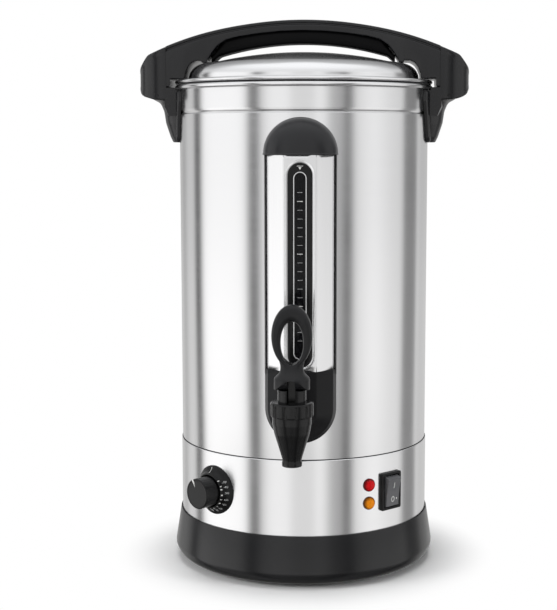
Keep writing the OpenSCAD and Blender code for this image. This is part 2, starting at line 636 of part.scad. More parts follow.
// Outer line of the leg: distance from the centre line and height
leg_line = [[body_r + 4, leg_z], [body_r + 7.6, leg_z + 1.6], [body_r + 9, leg_z + 5],
    [body_r + 14.8, leg_z + 24]];
function leg_corner() = arc([body_r + 22, leg_z + 29.5], 8.5, 180, 100, 6);
module handle_outline() polygon(concat(
    [[body_r - 10, leg_z]], leg_line, leg_corner(),
    [[handle_reach - 6, rim_z - 10.4]],
    arc([handle_reach - tip_r, tip_low], tip_r, -60, 0, 5),
    [[handle_reach, rim_z + 15.5]],
    arc([handle_reach - tip_r, rim_z + 15.5], tip_r, 8, 52, 5),
    [for (x = [tip_top_x - 1:-4:body_r - 10]) [x, crown(arch_top, arch_r, x)]]));
module handle_plan(w, x0) {
    translate([x0, -w]) square([handle_reach - grip_half_w - x0, 2 * w]);
    translate([handle_reach - grip_half_w, 0]) circle(r = w);
}
module leg_turned() translate([leg_axis, 0, 0]) rotate_extrude() polygon(concat(
    [[0, leg_z]], [for (p = leg_line) [p.x - leg_axis, p.y]],
    [[24, leg_z + 31], [26, leg_z + 35], [29, leg_z + hood_h + 0.5], [0, leg_z + hood_h + 0.5]]));
module side_handle() color(BLACK) difference() {
    union() {
        intersection() {
            upright_y(40) handle_outline();
            union() {
                intersection() {
                    leg_turned();
                    block(0, beyond, 0.3 - grip_half_w, grip_half_w - 0.3, 0, beyond);
                }
                translate([0, 0, leg_z + hood_h]) linear_extrude(120) handle_plan(grip_half_w, body_r - 10);
            }
        }
        intersection() {
            tube(body_r + flange_t, body_r - 2, leg_z, under_rim);
            upright_x(200) polygon([[-19, leg_z], [19, leg_z], [25, leg_z + 4], [35, under_rim - 8],
                [33, under_rim], [-33, under_rim], [-35, under_rim - 8], [-25, leg_z + 4]]);
            block(0, beyond, -60, 60, 0, beyond);
        }
    }
    post(body_r + seam, 0, beyond);
    post(body_r + 4.4, under_rim, beyond);
    post(seam_r + gap, shelf_z, beyond);
    translate([0, 0, leg_z - 5]) linear_extrude(65) intersection() {
        handle_plan(grip_half_w - pocket_wall, body_r);
        translate([seam_r + 4.5, -50]) square(100);
    }
    for (z = bolt_levels) rotate([0, 0, 90]) rod(bolt_r, 90, seam_r - 1, z);
}
module side_handle_right() side_handle();
module side_handle_left() mirror([1, 0, 0]) side_handle();
module side_handle_screws() color(STEEL) for (s = [90, -90]) for (z = bolt_levels) face(s) {
    rod(bolt_r, vessel_in - 3, seam_r - 2, z);
    rod(4.5, vessel_in - 4.6, vessel_in - 2.2, z);
}
module side_handle_seals() color(RUBBER) for (s = [90, -90]) for (z = bolt_levels) face(s) difference() {
    rod(5.5, vessel_in - 2.2, vessel_in - 0.15, z);
    rod(bolt_r, 90, 150, z);
}

// ---- Lid --------------------------------------------------------------------------------
lid_z = rim_z + 0.6;
flange_z = lid_z + 3;
lid_t = 0.8;
ring_r = dome_r + 3;
ring_top = lid_z + 18.8;
shoulder_r = body_r - 8.5;
dome_c = lid_z + lid_rise;
dome_big = (dome_r * dome_r + pow(dome_c - ring_top, 2)) / (2 * (dome_c - ring_top));
lid_bead_r = 1.6;
lid_bead_c = [body_r + 2.3, lid_z + 2];
module lid_profile() polygon(concat(
    [for (i = [0:10]) let (x = dome_r * i / 10) [x, crown(dome_c, dome_big, x)]],
    oval([ring_r, flange_z + 2.4], shoulder_r - ring_r, ring_top - flange_z - 2.4, 90, 0, 9),
    [[shoulder_r + 0.6, flange_z + 0.9], [shoulder_r + 1.8, flange_z], [body_r + 1, flange_z]],
    arc(lid_bead_c, lid_bead_r, 140, -140, 14),
    [[body_r + 1, flange_z - lid_t], [shoulder_r + 1.4, flange_z - lid_t], [shoulder_r, flange_z]],
    oval([ring_r, flange_z + 2.4], shoulder_r - ring_r - lid_t, ring_top - flange_z - 2.4 - lid_t, 0, 90, 9),
    [for (i = [10:-1:0]) let (x = dome_r * i / 10) [x, crown(dome_c, dome_big, x) - lid_t]]));
foot_x = dome_r + 2.4;
lid_bolt_r = 1.9;
module lid_pan() color(STEEL) difference() {
    rotate_extrude($fn = 128) lid_profile();
    for (s = [-1, 1]) post(lid_bolt_r + 0.4, lid_z, 500, s * foot_x);
}
plug_r = body_r - 5.6;
module lid_plug_ring() color(STEEL) tube(plug_r, plug_r - 0.8, flange_z - lid_t - plug_h, flange_z - lid_t);
module lid_seal() color(RUBBER) rotate_extrude() polygon([
    [plug_r + seam, flange_z - lid_t - 9], [vessel_in - 0.6, flange_z - lid_t - 8],
    [vessel_in - 0.6, rim_z + 0.05], [body_r + 2.6, rim_z + 0.05], [body_r + 2.6, rim_z + 0.75],
    [body_r + 0.4, rim_z + 0.75], [body_r + 0.4, flange_z - lid_t - 0.1],
    [plug_r + seam, flange_z - lid_t - 0.1]]);

// ---- Lid handle -------------------------------------------------------------------------
lip_x = body_r + 6.5;
lip_z = shelf_z + gap;
slot_z = flange_z + 1.6;
under_r = 314;
under_top = arch_top - 9.3;
grip_low_r = 262;
grip_low = arch_top - 20.7;
shell_r = arch_r - strip_t - 1.2;
shell_top = arch_top - strip_t - 1.2;
ridge_w = 1.6;
// Lower edge of one half of the arch, from the seam inwards to the crown
function arch_under() = [[seam_r + 3, lip_z], [lip_x, lip_z], [lip_x, slot_z], [body_r - 7.2, slot_z],
    [body_r - 7.6, slot_z + 4.7], [body_r - 9.5, slot_z + 10], [body_r - 12, slot_z + 13.7],
    [body_r - 16, ring_top + 1.9], [foot_x + 2.6, ring_top + 2.1], [foot_x + 2.6, ring_top + 0.1],
    [foot_x - 2.2, ring_top + 0.1], [foot_x - 2.6, ring_top + 3], [foot_x - 6, ring_top + 9],
    [foot_x - 11.5, ring_top + 16.4], [foot_x - 19, ring_top + 21.4],
    for (i = [10:-1:0]) let (x = i * (foot_x - 27.4) / 10) [x, crown(under_top, under_r, x)]];
function arch_over(top, r) = [for (x = [0:6:seam_r + 3]) [x, crown(top, r, x)]];
module arch_outline(top, r) polygon(concat(arch_over(top, r), [[seam_r + 3, crown(top, r, seam_r + 3)]],
    arch_under(), flip(concat(arch_over(top, r), [[seam_r + 3, crown(top, r, seam_r + 3)]], arch_under()))));
// Plan of the arch: narrow at the crown, as wide as the side handles at its ends
swell_x0 = body_r - 72;
swell_x1 = body_r - 10;
arch_end = seam_r + 8;
function swell(x) = let (t = max(0, min(1, (x - swell_x0) / (swell_x1 - swell_x0)))) t * t * (3 - 2 * t);
function plan_edge(in) = [for (i = [0:22]) let (x = i * arch_end / 22)
    [x, arch_half_w + (grip_half_w - arch_half_w) * swell(x) - in]];
module arch_plan(in) {
    front = concat(flip(plan_edge(in)), [for (i = [1:len(plan_edge(in)) - 1]) plan_edge(in)[i]]);
    polygon(concat(front, [for (i = [len(front) - 1:-1:0]) [front[i].x, -front[i].y]]));
}
module within_seam() intersection() {
    children();
    post(seam_r, 0, beyond);
}
module lid_handle() color(BLACK) difference() {
    within_seam() {
        intersection() {
            upright_y(40) arch_outline(shell_top, shell_r);
            linear_extrude(beyond) arch_plan(0);
        }
        intersection() {
            upright_y(40) difference() {
                arch_outline(arch_top - strip_t, arch_r - strip_t);
                translate([-200, 0]) square([400, rim_z + 20]);
            }
            linear_extrude(beyond) arch_plan(ridge_w);
        }
    }
    upright_y(arch_half_w - 2.6) polygon(concat(
        [for (i = [-13:13]) let (x = i * (foot_x - 9.4) / 13) [x, crown(shell_top - 3, shell_r - 3, x)]],
        [[foot_x - 5, ring_top + 10], [foot_x - 5, ring_top - 3],
            [5 - foot_x, ring_top - 3], [5 - foot_x, ring_top + 10]]));
    for (s = [-1, 1]) post(lid_bolt_r, ring_top - 2, ring_top + 16, s * foot_x);
}
module lid_handle_strip() color(BLACK) intersection() {
    upright_y(40) polygon(concat(
        [for (i = [-22:22]) let (x = i * arch_end / 22) [x, crown(arch_top, arch_r, x)]],
        [for (i = [22:-1:-22]) let (x = i * arch_end / 22)
            [x, crown(arch_top - strip_t + 0.02, arch_r - strip_t, x)]]));
    linear_extrude(beyond) arch_plan(0.3);
    post(seam_r, 0, beyond);
}
grip_t = arch_half_w - 2.8;
module lid_handle_grip() color("#161617") upright_y(grip_t) polygon(concat(
    [for (i = [-12:12]) let (x = i * (foot_x - 15.4) / 12) [x, crown(shell_top - 3.1, shell_r - 3.1, x)]],
    [[foot_x - 5.4, ring_top + 9], [foot_x - 5.4, ring_top + 1.6], [foot_x - 8, ring_top + 3]],
    [for (x = [foot_x - 12:-6:12 - foot_x]) [x, crown(grip_low, grip_low_r, x)]],
    [[8 - foot_x, ring_top + 3], [5.4 - foot_x, ring_top + 1.6], [5.4 - foot_x, ring_top + 9]]));
module lid_handle_screws() color(STEEL) for (s = [-1, 1]) {
    post(lid_bolt_r, ring_top - lid_t - 1, ring_top + 15, s * foot_x);
    post(3.4, ring_top - lid_t - 2.9, ring_top - lid_t - 0.5, s * foot_x);
}

base_ring();
bottom_plate();
bottom_plate_screws();
rubber_feet();
skirt_band();
vessel();
heat_plate();
heating_element();
boil_dry_cutout();
thermostat_body();
thermostat_bulb();
dial_plate();
dial_knob();
thermostat_shaft();
lamp_red();
lamp_amber();
lamp_holders();
switch_housing();
switch_rocker();
power_inlet();
inlet_pins();
inlet_screws();
gauge_channel();
gauge_top_cap();
gauge_lower_housing();
gauge_bezel();
gauge_window();
sight_tube();
tube_seals();
tube_elbow();
tube_top_plug();
elbow_nut();
tap_body();
tap_bonnet();
tap_stem();
seat_cup();
tap_lever();
lever_pin();
tap_washers();
tap_lock_nut();
side_handle_right();
side_handle_left();
side_handle_screws();
side_handle_seals();
lid_seal();
lid_pan();
lid_plug_ring();
lid_handle();
lid_handle_strip();
lid_handle_grip();
lid_handle_screws();
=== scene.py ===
"""Dresses the hot water urn: surfaces, finishes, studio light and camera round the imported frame.

Lengths in this file are millimetres unless a name says otherwise; meshes are written in metres.
The frame stands on z = 0, +Z is up and the tap faces -Y.
"""
import json
import logging
import math
from dataclasses import dataclass
from enum import Enum
from typing import Any, Optional, Sequence, Union

import bmesh
import bpy
import numpy as np
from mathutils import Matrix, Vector
from numpy.typing import NDArray

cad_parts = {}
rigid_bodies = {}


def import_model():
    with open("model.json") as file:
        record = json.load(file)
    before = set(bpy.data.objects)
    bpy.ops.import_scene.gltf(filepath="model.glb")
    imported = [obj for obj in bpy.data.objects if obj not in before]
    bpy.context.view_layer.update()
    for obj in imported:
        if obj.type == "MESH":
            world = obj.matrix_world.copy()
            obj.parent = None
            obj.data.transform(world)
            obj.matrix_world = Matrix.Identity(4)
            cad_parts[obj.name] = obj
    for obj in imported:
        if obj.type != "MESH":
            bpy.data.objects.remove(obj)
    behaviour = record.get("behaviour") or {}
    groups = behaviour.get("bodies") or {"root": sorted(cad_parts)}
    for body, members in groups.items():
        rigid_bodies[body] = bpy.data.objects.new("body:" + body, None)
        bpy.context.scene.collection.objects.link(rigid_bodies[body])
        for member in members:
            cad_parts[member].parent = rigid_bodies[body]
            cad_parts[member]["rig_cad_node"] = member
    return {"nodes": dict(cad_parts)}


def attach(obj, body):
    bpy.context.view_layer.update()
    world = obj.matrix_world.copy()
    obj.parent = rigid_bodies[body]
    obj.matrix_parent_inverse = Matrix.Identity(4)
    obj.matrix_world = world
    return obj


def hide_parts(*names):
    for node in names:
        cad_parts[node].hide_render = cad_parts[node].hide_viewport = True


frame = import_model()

logging.basicConfig(level=logging.INFO, format="%(message)s")
LOG = logging.getLogger("urn")
Array = NDArray[np.float64]
MM = 0.001
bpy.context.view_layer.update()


# ---- Curves and grids of points ----
def arc(x: float, y: float, radius: float, start: float, end: float, steps: int = 12) -> Array:
    """Points at centre + radius * (cos a, sin a), with a running evenly from start to end.

    Args:
        x: Centre across.
        y: Centre up.
        radius: Radius of the arc.
        start: First angle in degrees.
        end: Last angle in degrees.
        steps: Number of equal steps.

    Returns:
        (steps + 1, 2) points.
    """
    angle = np.radians(np.linspace(start, end, steps + 1))
    return np.stack([x + radius * np.cos(angle), y + radius * np.sin(angle)], axis=1)


def crown(top: float, radius: float, x: Array) -> Array:
    """Height of a circle of this radius whose crown is at top, at distance x from its centre line."""
    return top - radius + out_to(radius, x)


def smooth_step(low: float, high: float, x: Array) -> Array:
    """Runs from 0 at low to 1 at high with level ends: 3t^2 - 2t^3."""
    t = np.clip((np.asarray(x, float) - low) / (high - low), 0.0, 1.0)
    return t * t * (3.0 - 2.0 * t)


def rounded(points: Sequence[Sequence[float]], radius: float, closed: bool = True, steps: int = 5) -> Array:
    """Rounds the corners of a line: each corner becomes an arc tangent to its two sides.

    The arc's tangent length is radius / tan(half the corner's angle), cut back to 0.45 of the shorter side.

    Args:
        points: The corners, as (x, y) or (x, y, own radius).
        radius: Radius where a corner gives none of its own.
        closed: Whether the last point joins the first.
        steps: Steps in each arc.

    Returns:
        (n, 2) points of the rounded line.
    """
    corners = [(float(p[0]), float(p[1]), float(p[2]) if len(p) > 2 else radius) for p in points]
    found: list[Array] = []
    count = len(corners)
    for i, (x, y, own) in enumerate(corners):
        here = np.array([x, y])
        if not closed and i in (0, count - 1) or own <= 0:
            found.append(here[None])
            continue
        before = np.array(corners[i - 1][:2]) - here
        after = np.array(corners[(i + 1) % count][:2]) - here
        len_before, len_after = np.linalg.norm(before), np.linalg.norm(after)
        before, after = before / len_before, after / len_after
        half = math.acos(float(np.clip(before @ after, -1.0, 1.0))) / 2.0
        if half > math.radians(88.0):
            found.append(here[None])
            continue
        reach = min(own / math.tan(half), 0.45 * min(len_before, len_after))
        t = np.linspace(0.0, 1.0, steps + 1)[:, None]
        weight = math.sin(half)
        start, end = here + before * reach, here + after * reach
        top = (1 - t) ** 2 * start + 2 * weight * t * (1 - t) * here + t**2 * end
        found.append(top / ((1 - t) ** 2 + 2 * weight * t * (1 - t) + t**2))
    return np.concatenate(found)


def whole_turn(steps: int) -> Array:
    """Even angles in radians over a whole turn, without the last one, which meets the first."""
    return np.radians(np.linspace(0.0, 360.0, steps + 1))[:-1]


def about_axis(angle: Array, radius: Array, height: Array) -> Array:
    """Points at (r sin a, -r cos a, z); the angles, in radians, run along the first direction."""
    across, back = np.sin(angle)[:, None] * radius, -np.cos(angle)[:, None] * radius
    return np.stack([across, back, np.broadcast_to(height, across.shape)], axis=2)


def lathe(profile: Array, steps: int) -> Array:
    """Turns (n, 2) radius and height points about the Z axis: (steps, n, 3) points from the front on."""
    return about_axis(whole_turn(steps), profile[:, 0], profile[:, 1])


def height_on(line: Array, x: Array) -> Array:
    """Height of a line at x; where the line stands upright, its points are put a hair apart."""
    order = np.maximum.accumulate(line[:, 0] + np.arange(len(line)) * 1e-6)
    return np.interp(x, order, line[:, 1])


def forward(points: Array, height: float) -> Array:
    """Lays a turned shape forward: its axis Z becomes -Y, and its front becomes the underside."""
    return np.stack([points[..., 0], -points[..., 2], points[..., 1] + height], axis=-1)


def faced(points: Array, azimuth: float) -> Array:
    """Turns a shape built at the front so that it faces the given azimuth, in degrees towards +X.

    Args:
        points: (..., 3) points.
        azimuth: Degrees from the front towards +X.

    Returns:
        The turned points.
    """
    c, s = math.cos(math.radians(azimuth)), math.sin(math.radians(azimuth))
    x, y = points[..., 0], points[..., 1]
    return np.stack([c * x - s * y, s * x + c * y, points[..., 2]], axis=-1)


def capsule(half_width: float, low: float, high: float, steps: int = 24) -> Array:
    """Outline of an upright slot with round ends: (x, z), anticlockwise from the lower right."""
    return np.concatenate([arc(0, high - half_width, half_width, 0, 180, steps),
                           arc(0, low + half_width, half_width, 180, 360, steps)])


def box_outline(half_width: float, low: float, high: float, radius: float) -> Array:
    """Outline of an upright rectangle with rounded corners: (x, z), anticlockwise."""
    return rounded([(half_width, low), (half_width, high), (-half_width, high), (-half_width, low)], radius)


def outline_normals(outline: Array) -> Array:
    """Outward unit normals of an anticlockwise closed outline: the tangent turned a right angle clockwise.

    Args:
        outline: (n, 2) points.

    Returns:
        (n, 2) normals.
    """
    tangent = np.roll(outline, -1, axis=0) - np.roll(outline, 1, axis=0)
    tangent /= np.maximum(np.linalg.norm(tangent, axis=1, keepdims=True), 1e-9)
    return np.stack([tangent[:, 1], -tangent[:, 0]], axis=1)


def stood(flat: Array, out: Array) -> Array:
    """Stands (rows, rings, 2) points of x and z up, each ring at its own distance out."""
    return np.stack([flat[..., 0], np.broadcast_to(-out, flat.shape[:2]), flat[..., 1]], axis=2)


def upward(points: Array) -> Array:
    """Turns a plate that faces -Y so that it faces up: its outline's height runs back along +Y."""
    return np.stack([points[..., 0], points[..., 2], -points[..., 1]], axis=-1)


def pillow(outline: Array, back: float, front: float, edge: float, steps: int = 5,
           side: float = 1.0) -> Array:
    """A plate facing -Y with a rounded front edge.

    At quarter-round angle t the outline shrinks by edge * (1 - cos t) along its normals, and stands
    edge * (1 - sin t) behind the front.

    Args:
        outline: (n, 2) anticlockwise outline in x and z.
        back: Depth of the back, measured out from the axis towards -Y.
        front: Depth of the front face.
        edge: Radius of the front edge.
        steps: Steps of the round.
        side: 1 for a plate inside the outline, -1 for one round an opening.

    Returns:
        (n, rings, 3) points from the back ring to the front ring.
    """
    angle = np.linspace(0.0, math.pi / 2, steps + 1)
    shrink = np.concatenate([[0.0], edge * (1 - np.cos(angle))]) * side
    depth = np.concatenate([[back], front - edge * (1 - np.sin(angle))])
    flat = outline[:, None, :] - outline_normals(outline)[:, None, :] * shrink[None, :, None]
    return stood(flat, depth)


def sections(centre: Array, half_width: Array, low: Array, high: Array, radius: float,
             steps: int = 5) -> Array:
    """Carries an upright rectangle with rounded corners along X.

    Args:
        centre: (n,) x of each section.
        half_width: (n,) half width along Y of each section.
        low: (n,) lower edge of each section.
        high: (n,) upper edge of each section.
        radius: Corner radius, cut back to 0.48 of the smaller side.
        steps: Steps in each corner.

    Returns:
        (n, 4 * (steps + 1), 3) points, each section closed on itself.
    """
    fit = np.minimum(radius, 0.48 * np.minimum(2 * half_width, high - low))[:, None]
    quarter = np.radians(np.linspace(0.0, 90.0, steps + 1))
    angle = np.concatenate([quarter, quarter + math.pi / 2, quarter + math.pi, quarter + 1.5 * math.pi])
    side = np.repeat([1.0, -1.0, -1.0, 1.0], steps + 1)
    rise = np.repeat([1.0, 1.0, -1.0, -1.0], steps + 1)
    y = side * (half_width[:, None] - fit) + fit * np.cos(angle)
    edge = np.where(rise > 0, high[:, None] - fit, low[:, None] + fit)
    return np.stack([np.broadcast_to(centre[:, None], y.shape), y, edge + fit * np.sin(angle)], axis=2)


def out_to(radius: Any, across: Any) -> Array:
    """How far out a cylinder of this radius is, at this distance from its middle plane."""
    return np.sqrt(np.maximum(np.square(radius) - np.square(across), 0.0))


def ahead(out: float, level: float, azimuth: float) -> Array:
    """The point this far out from the axis, at this height and azimuth."""
    return faced(np.array([0.0, -out, level]), azimuth)


def carried_up(section: Array, level: Array) -> Array:
    """Carries a section of (x, distance out) points up through the levels.

    Args:
        section: (n, 2) points.
        level: (m,) heights.

    Returns:
        (m, n, 3) points.
    """
    shape = (len(level), len(section))
    return np.stack([np.broadcast_to(section[:, 0], shape), np.broadcast_to(-section[:, 1], shape),
                     np.broadcast_to(level[:, None], shape)], axis=2)


def squarish(share: Array, power: float) -> Array:
    """A sine or cosine bent so that it draws an oval of this power; 2 leaves it a true oval."""
    return np.sign(share) * np.abs(share) ** (2 / power)


def mirrored(points: Array) -> Array:
    """The same shape on the other side of the X = 0 plane."""
    return points * np.array([-1.0, 1.0, 1.0])


def placed(name: str, data: Any) -> bpy.types.Object:
    """A new object with this data, linked to the scene.

    Args:
        name: Its name.
        data: Its mesh, curve, light or camera.

    Returns:
        The object.
    """
    made = bpy.data.objects.new(name, data)
    bpy.context.scene.collection.objects.link(made)
    return made


def report(piece: bpy.types.Object, body: str) -> None:
    """Logs a piece, its face count and the body that it rides on."""
    LOG.info("%-28s %6d faces on %s", piece.name, len(piece.data.polygons), body)


class Skin:
    """Gathers grids of points into one mesh piece."""

    def __init__(self) -> None:
        """Starts with no points."""
        self.points: list[Array] = []
        self.faces: list[Array] = []
        self.count = 0

    def grid(self, points: Array, wrap_u: bool = False, wrap_v: bool = False,
             keep: Optional[NDArray[np.bool_]] = None) -> "Skin":
        """Adds a grid of quads between neighbouring points.

        Args:
            points: (m, n, 3) points.
            wrap_u: Whether the last row joins the first.
            wrap_v: Whether the last column joins the first.
            keep: One flag for each cell; cells with a false flag are left out.

        Returns:
            This skin.
        """
        rows, columns = points.shape[:2]
        index = np.arange(rows * columns).reshape(rows, columns) + self.count
        index = np.concatenate([index, index[:1]]) if wrap_u else index
        index = np.concatenate([index, index[:, :1]], axis=1) if wrap_v else index
        quads = np.stack([index[:-1, :-1], index[1:, :-1], index[1:, 1:], index[:-1, 1:]], axis=-1)
        self.faces.append(quads[keep] if keep is not None else quads.reshape(-1, 4))
        self.points.append(points.reshape(-1, 3))
        self.count += rows * columns
        return self

    def fan(self, ring: Array) -> "Skin":
        """Closes a ring of points with triangles to its middle, kept as a grid that meets in one point."""
        middle = np.broadcast_to(ring.mean(axis=0), ring.shape)
        return self.grid(np.stack([ring, middle], axis=1), wrap_u=True)

    def tube(self, points: Array) -> "Skin":
        """Adds sections that close on themselves along the second direction, with both ends capped."""
        return self.grid(points, wrap_v=True).fan(points[0]).fan(points[-1])

    def lathed(self, profile: Array, steps: int, closed: bool = True) -> "Skin":
        """Adds a profile turned about the Z axis; a closed one joins its own end."""
        return self.grid(lathe(profile, steps), wrap_u=True, wrap_v=closed)

    def plate(self, outline: Array, back: float, front: float, edge: float, azimuth: float = 0.0) -> "Skin":
        """Adds a closed plate with a rounded front edge, facing the given azimuth."""
        body = faced(pillow(outline, back, front, edge), azimuth)
        return self.grid(body, wrap_u=True).fan(body[:, 0]).fan(body[:, -1])

    def frame(self, outer: Array, inner: Array, back: float, front: float, edge: float,
              azimuth: float = 0.0) -> "Skin":
        """Adds a closed flat ring between two outlines of equal count, with both front edges rounded.

        Args:
            outer: The ring's outline.
            inner: The opening's outline.
            back: Depth of the back.
            front: Depth of the front face.
            edge: Radius of the front edges.
            azimuth: Where it faces.

        Returns:
            This skin.
        """
        out = faced(pillow(outer, back, front, edge), azimuth)
        into = faced(pillow(inner, back, front, edge, side=-1.0), azimuth)
        return self.grid(np.concatenate([out, into[:, ::-1]], axis=1), wrap_u=True, wrap_v=True)

    def build(self, name: str, body: str, finish: "Finish", sharp: float = 35.0,
              stands_for: Sequence[str] = (), wall: float = 0.0,
              about: Optional[Array] = None) -> bpy.types.Object:
        """Merges what meets, turns the faces outwards and makes the piece.

        Args:
            name: Name of the piece.
            body: The frame's body that it rides on.
            finish: Its finish.
            sharp: Edges steeper than this, in degrees, stay sharp.
            stands_for: The frame's nodes that it takes the place of.
            wall: Thickness given to an open sheet, inwards; 0 for a closed shape.
            about: A point that an open sheet faces away from.

        Returns:
            The new object.
        """
        piece = self.raw(name)
        mesh = piece.data
        if about is not None:
            self._face_away(mesh, about)
        mesh.polygons.foreach_set("use_smooth", np.ones(len(mesh.polygons), bool))
        mesh.set_sharp_from_angle(angle=math.radians(sharp))
        if wall > 0:
            solid = piece.modifiers.new("wall", "SOLIDIFY")
            solid.thickness = wall * MM
            solid.offset = -1.0
        finish.dress(piece)
        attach(piece, body)
        if stands_for:
            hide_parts(*stands_for)
        report(piece, body)
        return piece

    def raw(self, name: str) -> bpy.types.Object:
        """Writes the gathered grids to a new object's mesh, with points that meet merged.

        Args:
            name: Name of the object and its mesh.

        Returns:
            The new object.
        """
        points = np.concatenate(self.points) * MM
        faces = np.concatenate(self.faces)
        mesh = bpy.data.meshes.new(name)
        mesh.vertices.add(len(points))
        mesh.vertices.foreach_set("co", points.ravel())
        mesh.loops.add(faces.size)
        mesh.loops.foreach_set("vertex_index", faces.ravel())
        mesh.polygons.add(len(faces))
        mesh.polygons.foreach_set("loop_start", np.arange(0, faces.size, 4))
        mesh.update(calc_edges=True)
        work = bmesh.new()
        work.from_mesh(mesh)
        bmesh.ops.remove_doubles(work, verts=work.verts, dist=0.004 * MM)
        bmesh.ops.dissolve_degenerate(work, edges=work.edges, dist=0.001 * MM)
        loose = [v for v in work.verts if not v.link_faces]
        bmesh.ops.delete(work, geom=loose, context="VERTS")
        bmesh.ops.recalc_face_normals(work, faces=work.faces)
        work.to_mesh(mesh)
        work.free()
        return placed(name, mesh)

    @staticmethod
    def _face_away(mesh: bpy.types.Mesh, about: Array) -> None:
        """Flips an open sheet if its faces look, on the whole, towards the given point.

        Args:
            mesh: The sheet's mesh.
            about: The point.
        """
        count = len(mesh.polygons)
        centre, normal, area = np.zeros(count * 3), np.zeros(count * 3), np.zeros(count)
        mesh.polygons.foreach_get("center", centre)
        mesh.polygons.foreach_get("normal", normal)
        mesh.polygons.foreach_get("area", area)
        away = centre.reshape(-1, 3) - np.asarray(about) * MM
        if float((np.einsum("ij,ij->i", away, normal.reshape(-1, 3)) * area).sum()) < 0:
            mesh.flip_normals()


# ---- Shader tools ----
class Value:
    """A number that varies over a surface: a shader socket with the arithmetic of numbers."""

    def __init__(self, tree: "Tree", socket: bpy.types.NodeSocket) -> None:
        """Wraps a socket of a tree's node."""
        self.tree = tree
        self.socket = socket

    def _math(self, operation: str, *operands: Any) -> "Value":
        """Adds a Math node with the given operation and operands."""
        return self.tree.out("ShaderNodeMath", {"operation": operation}, dict(enumerate(operands)))

    def __add__(self, other: Any) -> "Value":
        """Sum."""
        return self._math("ADD", self, other)

    __radd__ = __add__

    def __sub__(self, other: Any) -> "Value":
        """Difference."""
        return self._math("SUBTRACT", self, other)

    def __rsub__(self, other: Any) -> "Value":
        """Difference from a number."""
        return self._math("SUBTRACT", other, self)

    def __mul__(self, other: Any) -> "Value":
        """Product."""
        return self._math("MULTIPLY", self, other)

    __rmul__ = __mul__

    def __truediv__(self, other: Any) -> "Value":
        """Quotient."""
        return self._math("DIVIDE", self, other)

    def __rtruediv__(self, other: Any) -> "Value":
        """A number divided by the value."""
        return self._math("DIVIDE", other, self)

    def __abs__(self) -> "Value":
        """Distance from zero."""
        return self._math("ABSOLUTE", self)

    def root(self) -> "Value":
        """Square root."""
        return self._math("SQRT", self)

    def angle_to(self, other: "Value") -> "Value":
        """Angle in degrees of the direction whose sine part is this value and cosine part the other."""
        return self._math("ARCTAN2", self, other) * (180.0 / math.pi)

    def ramp(self, low: float, high: float, start: float = 0.0, end: float = 1.0) -> "Value":
        """Runs smoothly from start to end as the value goes from low to high."""
        return self.tree.out("ShaderNodeMapRange", {"interpolation_type": "SMOOTHSTEP"}, {
            "Value": self, "From Min": low, "From Max": high, "To Min": start, "To Max": end})


class Tree:
    """A material's or the world's nodes."""

    def __init__(self, owner: Any) -> None:
        """Clears the owner's nodes and keeps its tree.

        Args:
            owner: The material or world.
        """
        owner.use_nodes = True
        self.nodes = owner.node_tree.nodes
        self.links = owner.node_tree.links
        self.nodes.clear()

    def node(self, kind: str, settings: Optional[dict[str, Any]] = None,
             inputs: Optional[dict[Any, Any]] = None) -> bpy.types.Node:
        """Makes a node: settings first, then the values or links of its sockets.

        Args:
            kind: The node's type.
            settings: Its own settings by name.
            inputs: Values, colours, Values or sockets by socket name or number.

        Returns:
            The node.
        """
        node = self.nodes.new(kind)
        for key, value in (settings or {}).items():
            setattr(node, key, value)
        for key, value in (inputs or {}).items():
            if isinstance(value, Value):
                self.links.new(value.socket, node.inputs[key])
            elif isinstance(value, bpy.types.NodeSocket):
                self.links.new(value, node.inputs[key])
            else:
                node.inputs[key].default_value = value
        return node

    def out(self, kind: str, settings: Optional[dict[str, Any]] = None,
            inputs: Optional[dict[Any, Any]] = None) -> Value:
        """Makes a node and returns its first output as a Value."""
        return Value(self, self.node(kind, settings, inputs).outputs[0])

    def place(self) -> tuple[Value, ...]:
        """The point's own place in the frame, in millimetres, as x, y and z."""
        return tuple(value * (1.0 / MM) for value in self.coordinates("Object"))

    def coordinates(self, kind: str) -> tuple[Value, ...]:
        """The x, y and z of one of the texture coordinates."""
        found = self.node("ShaderNodeSeparateXYZ", {}, {0: self.node("ShaderNodeTexCoord").outputs[kind]})
        return tuple(Value(self, found.outputs[i]) for i in range(3))

    def vector(self, x: Any, y: Any, z: Any) -> bpy.types.NodeSocket:
        """A vector from three numbers or Values."""
        return self.node("ShaderNodeCombineXYZ", {}, {0: x, 1: y, 2: z}).outputs[0]

    def noise(self, vector: Any, scale: float, detail: float = 2.0, roughness: float = 0.5) -> Value:
        """Smooth noise from 0 to 1."""
        return self.out("ShaderNodeTexNoise", {}, {"Vector": vector, "Scale": scale, "Detail": detail,
                                                   "Roughness": roughness})

    def blend(self, factor: Any, first: Any, second: Any) -> bpy.types.NodeSocket:
        """Mixes two colours by a factor."""
        return self.node("ShaderNodeMix", {"data_type": "RGBA"}, {0: factor, 6: first, 7: second}).outputs[2]

    def bump(self, height: Value, strength: float, distance: float) -> bpy.types.NodeSocket:
        """A bumped normal; distance is in millimetres."""
        return self.node("ShaderNodeBump", {}, {"Strength": strength, "Distance": distance * MM,
                                                "Height": height}).outputs[0]

    def surface(self, shader: bpy.types.NodeSocket) -> None:
        """Ends a material's tree with the given shader."""
        self.node("ShaderNodeOutputMaterial", {}, {"Surface": shader})


Colour = tuple[float, float, float]
PAINTED: dict[str, bpy.types.Material] = {}


def rgba(colour: Colour, scale: float = 1.0) -> tuple[float, float, float, float]:
    """A colour with its alpha, made lighter or darker by scale."""
    return (*(min(1.0, c * scale) for c in colour), 1.0)


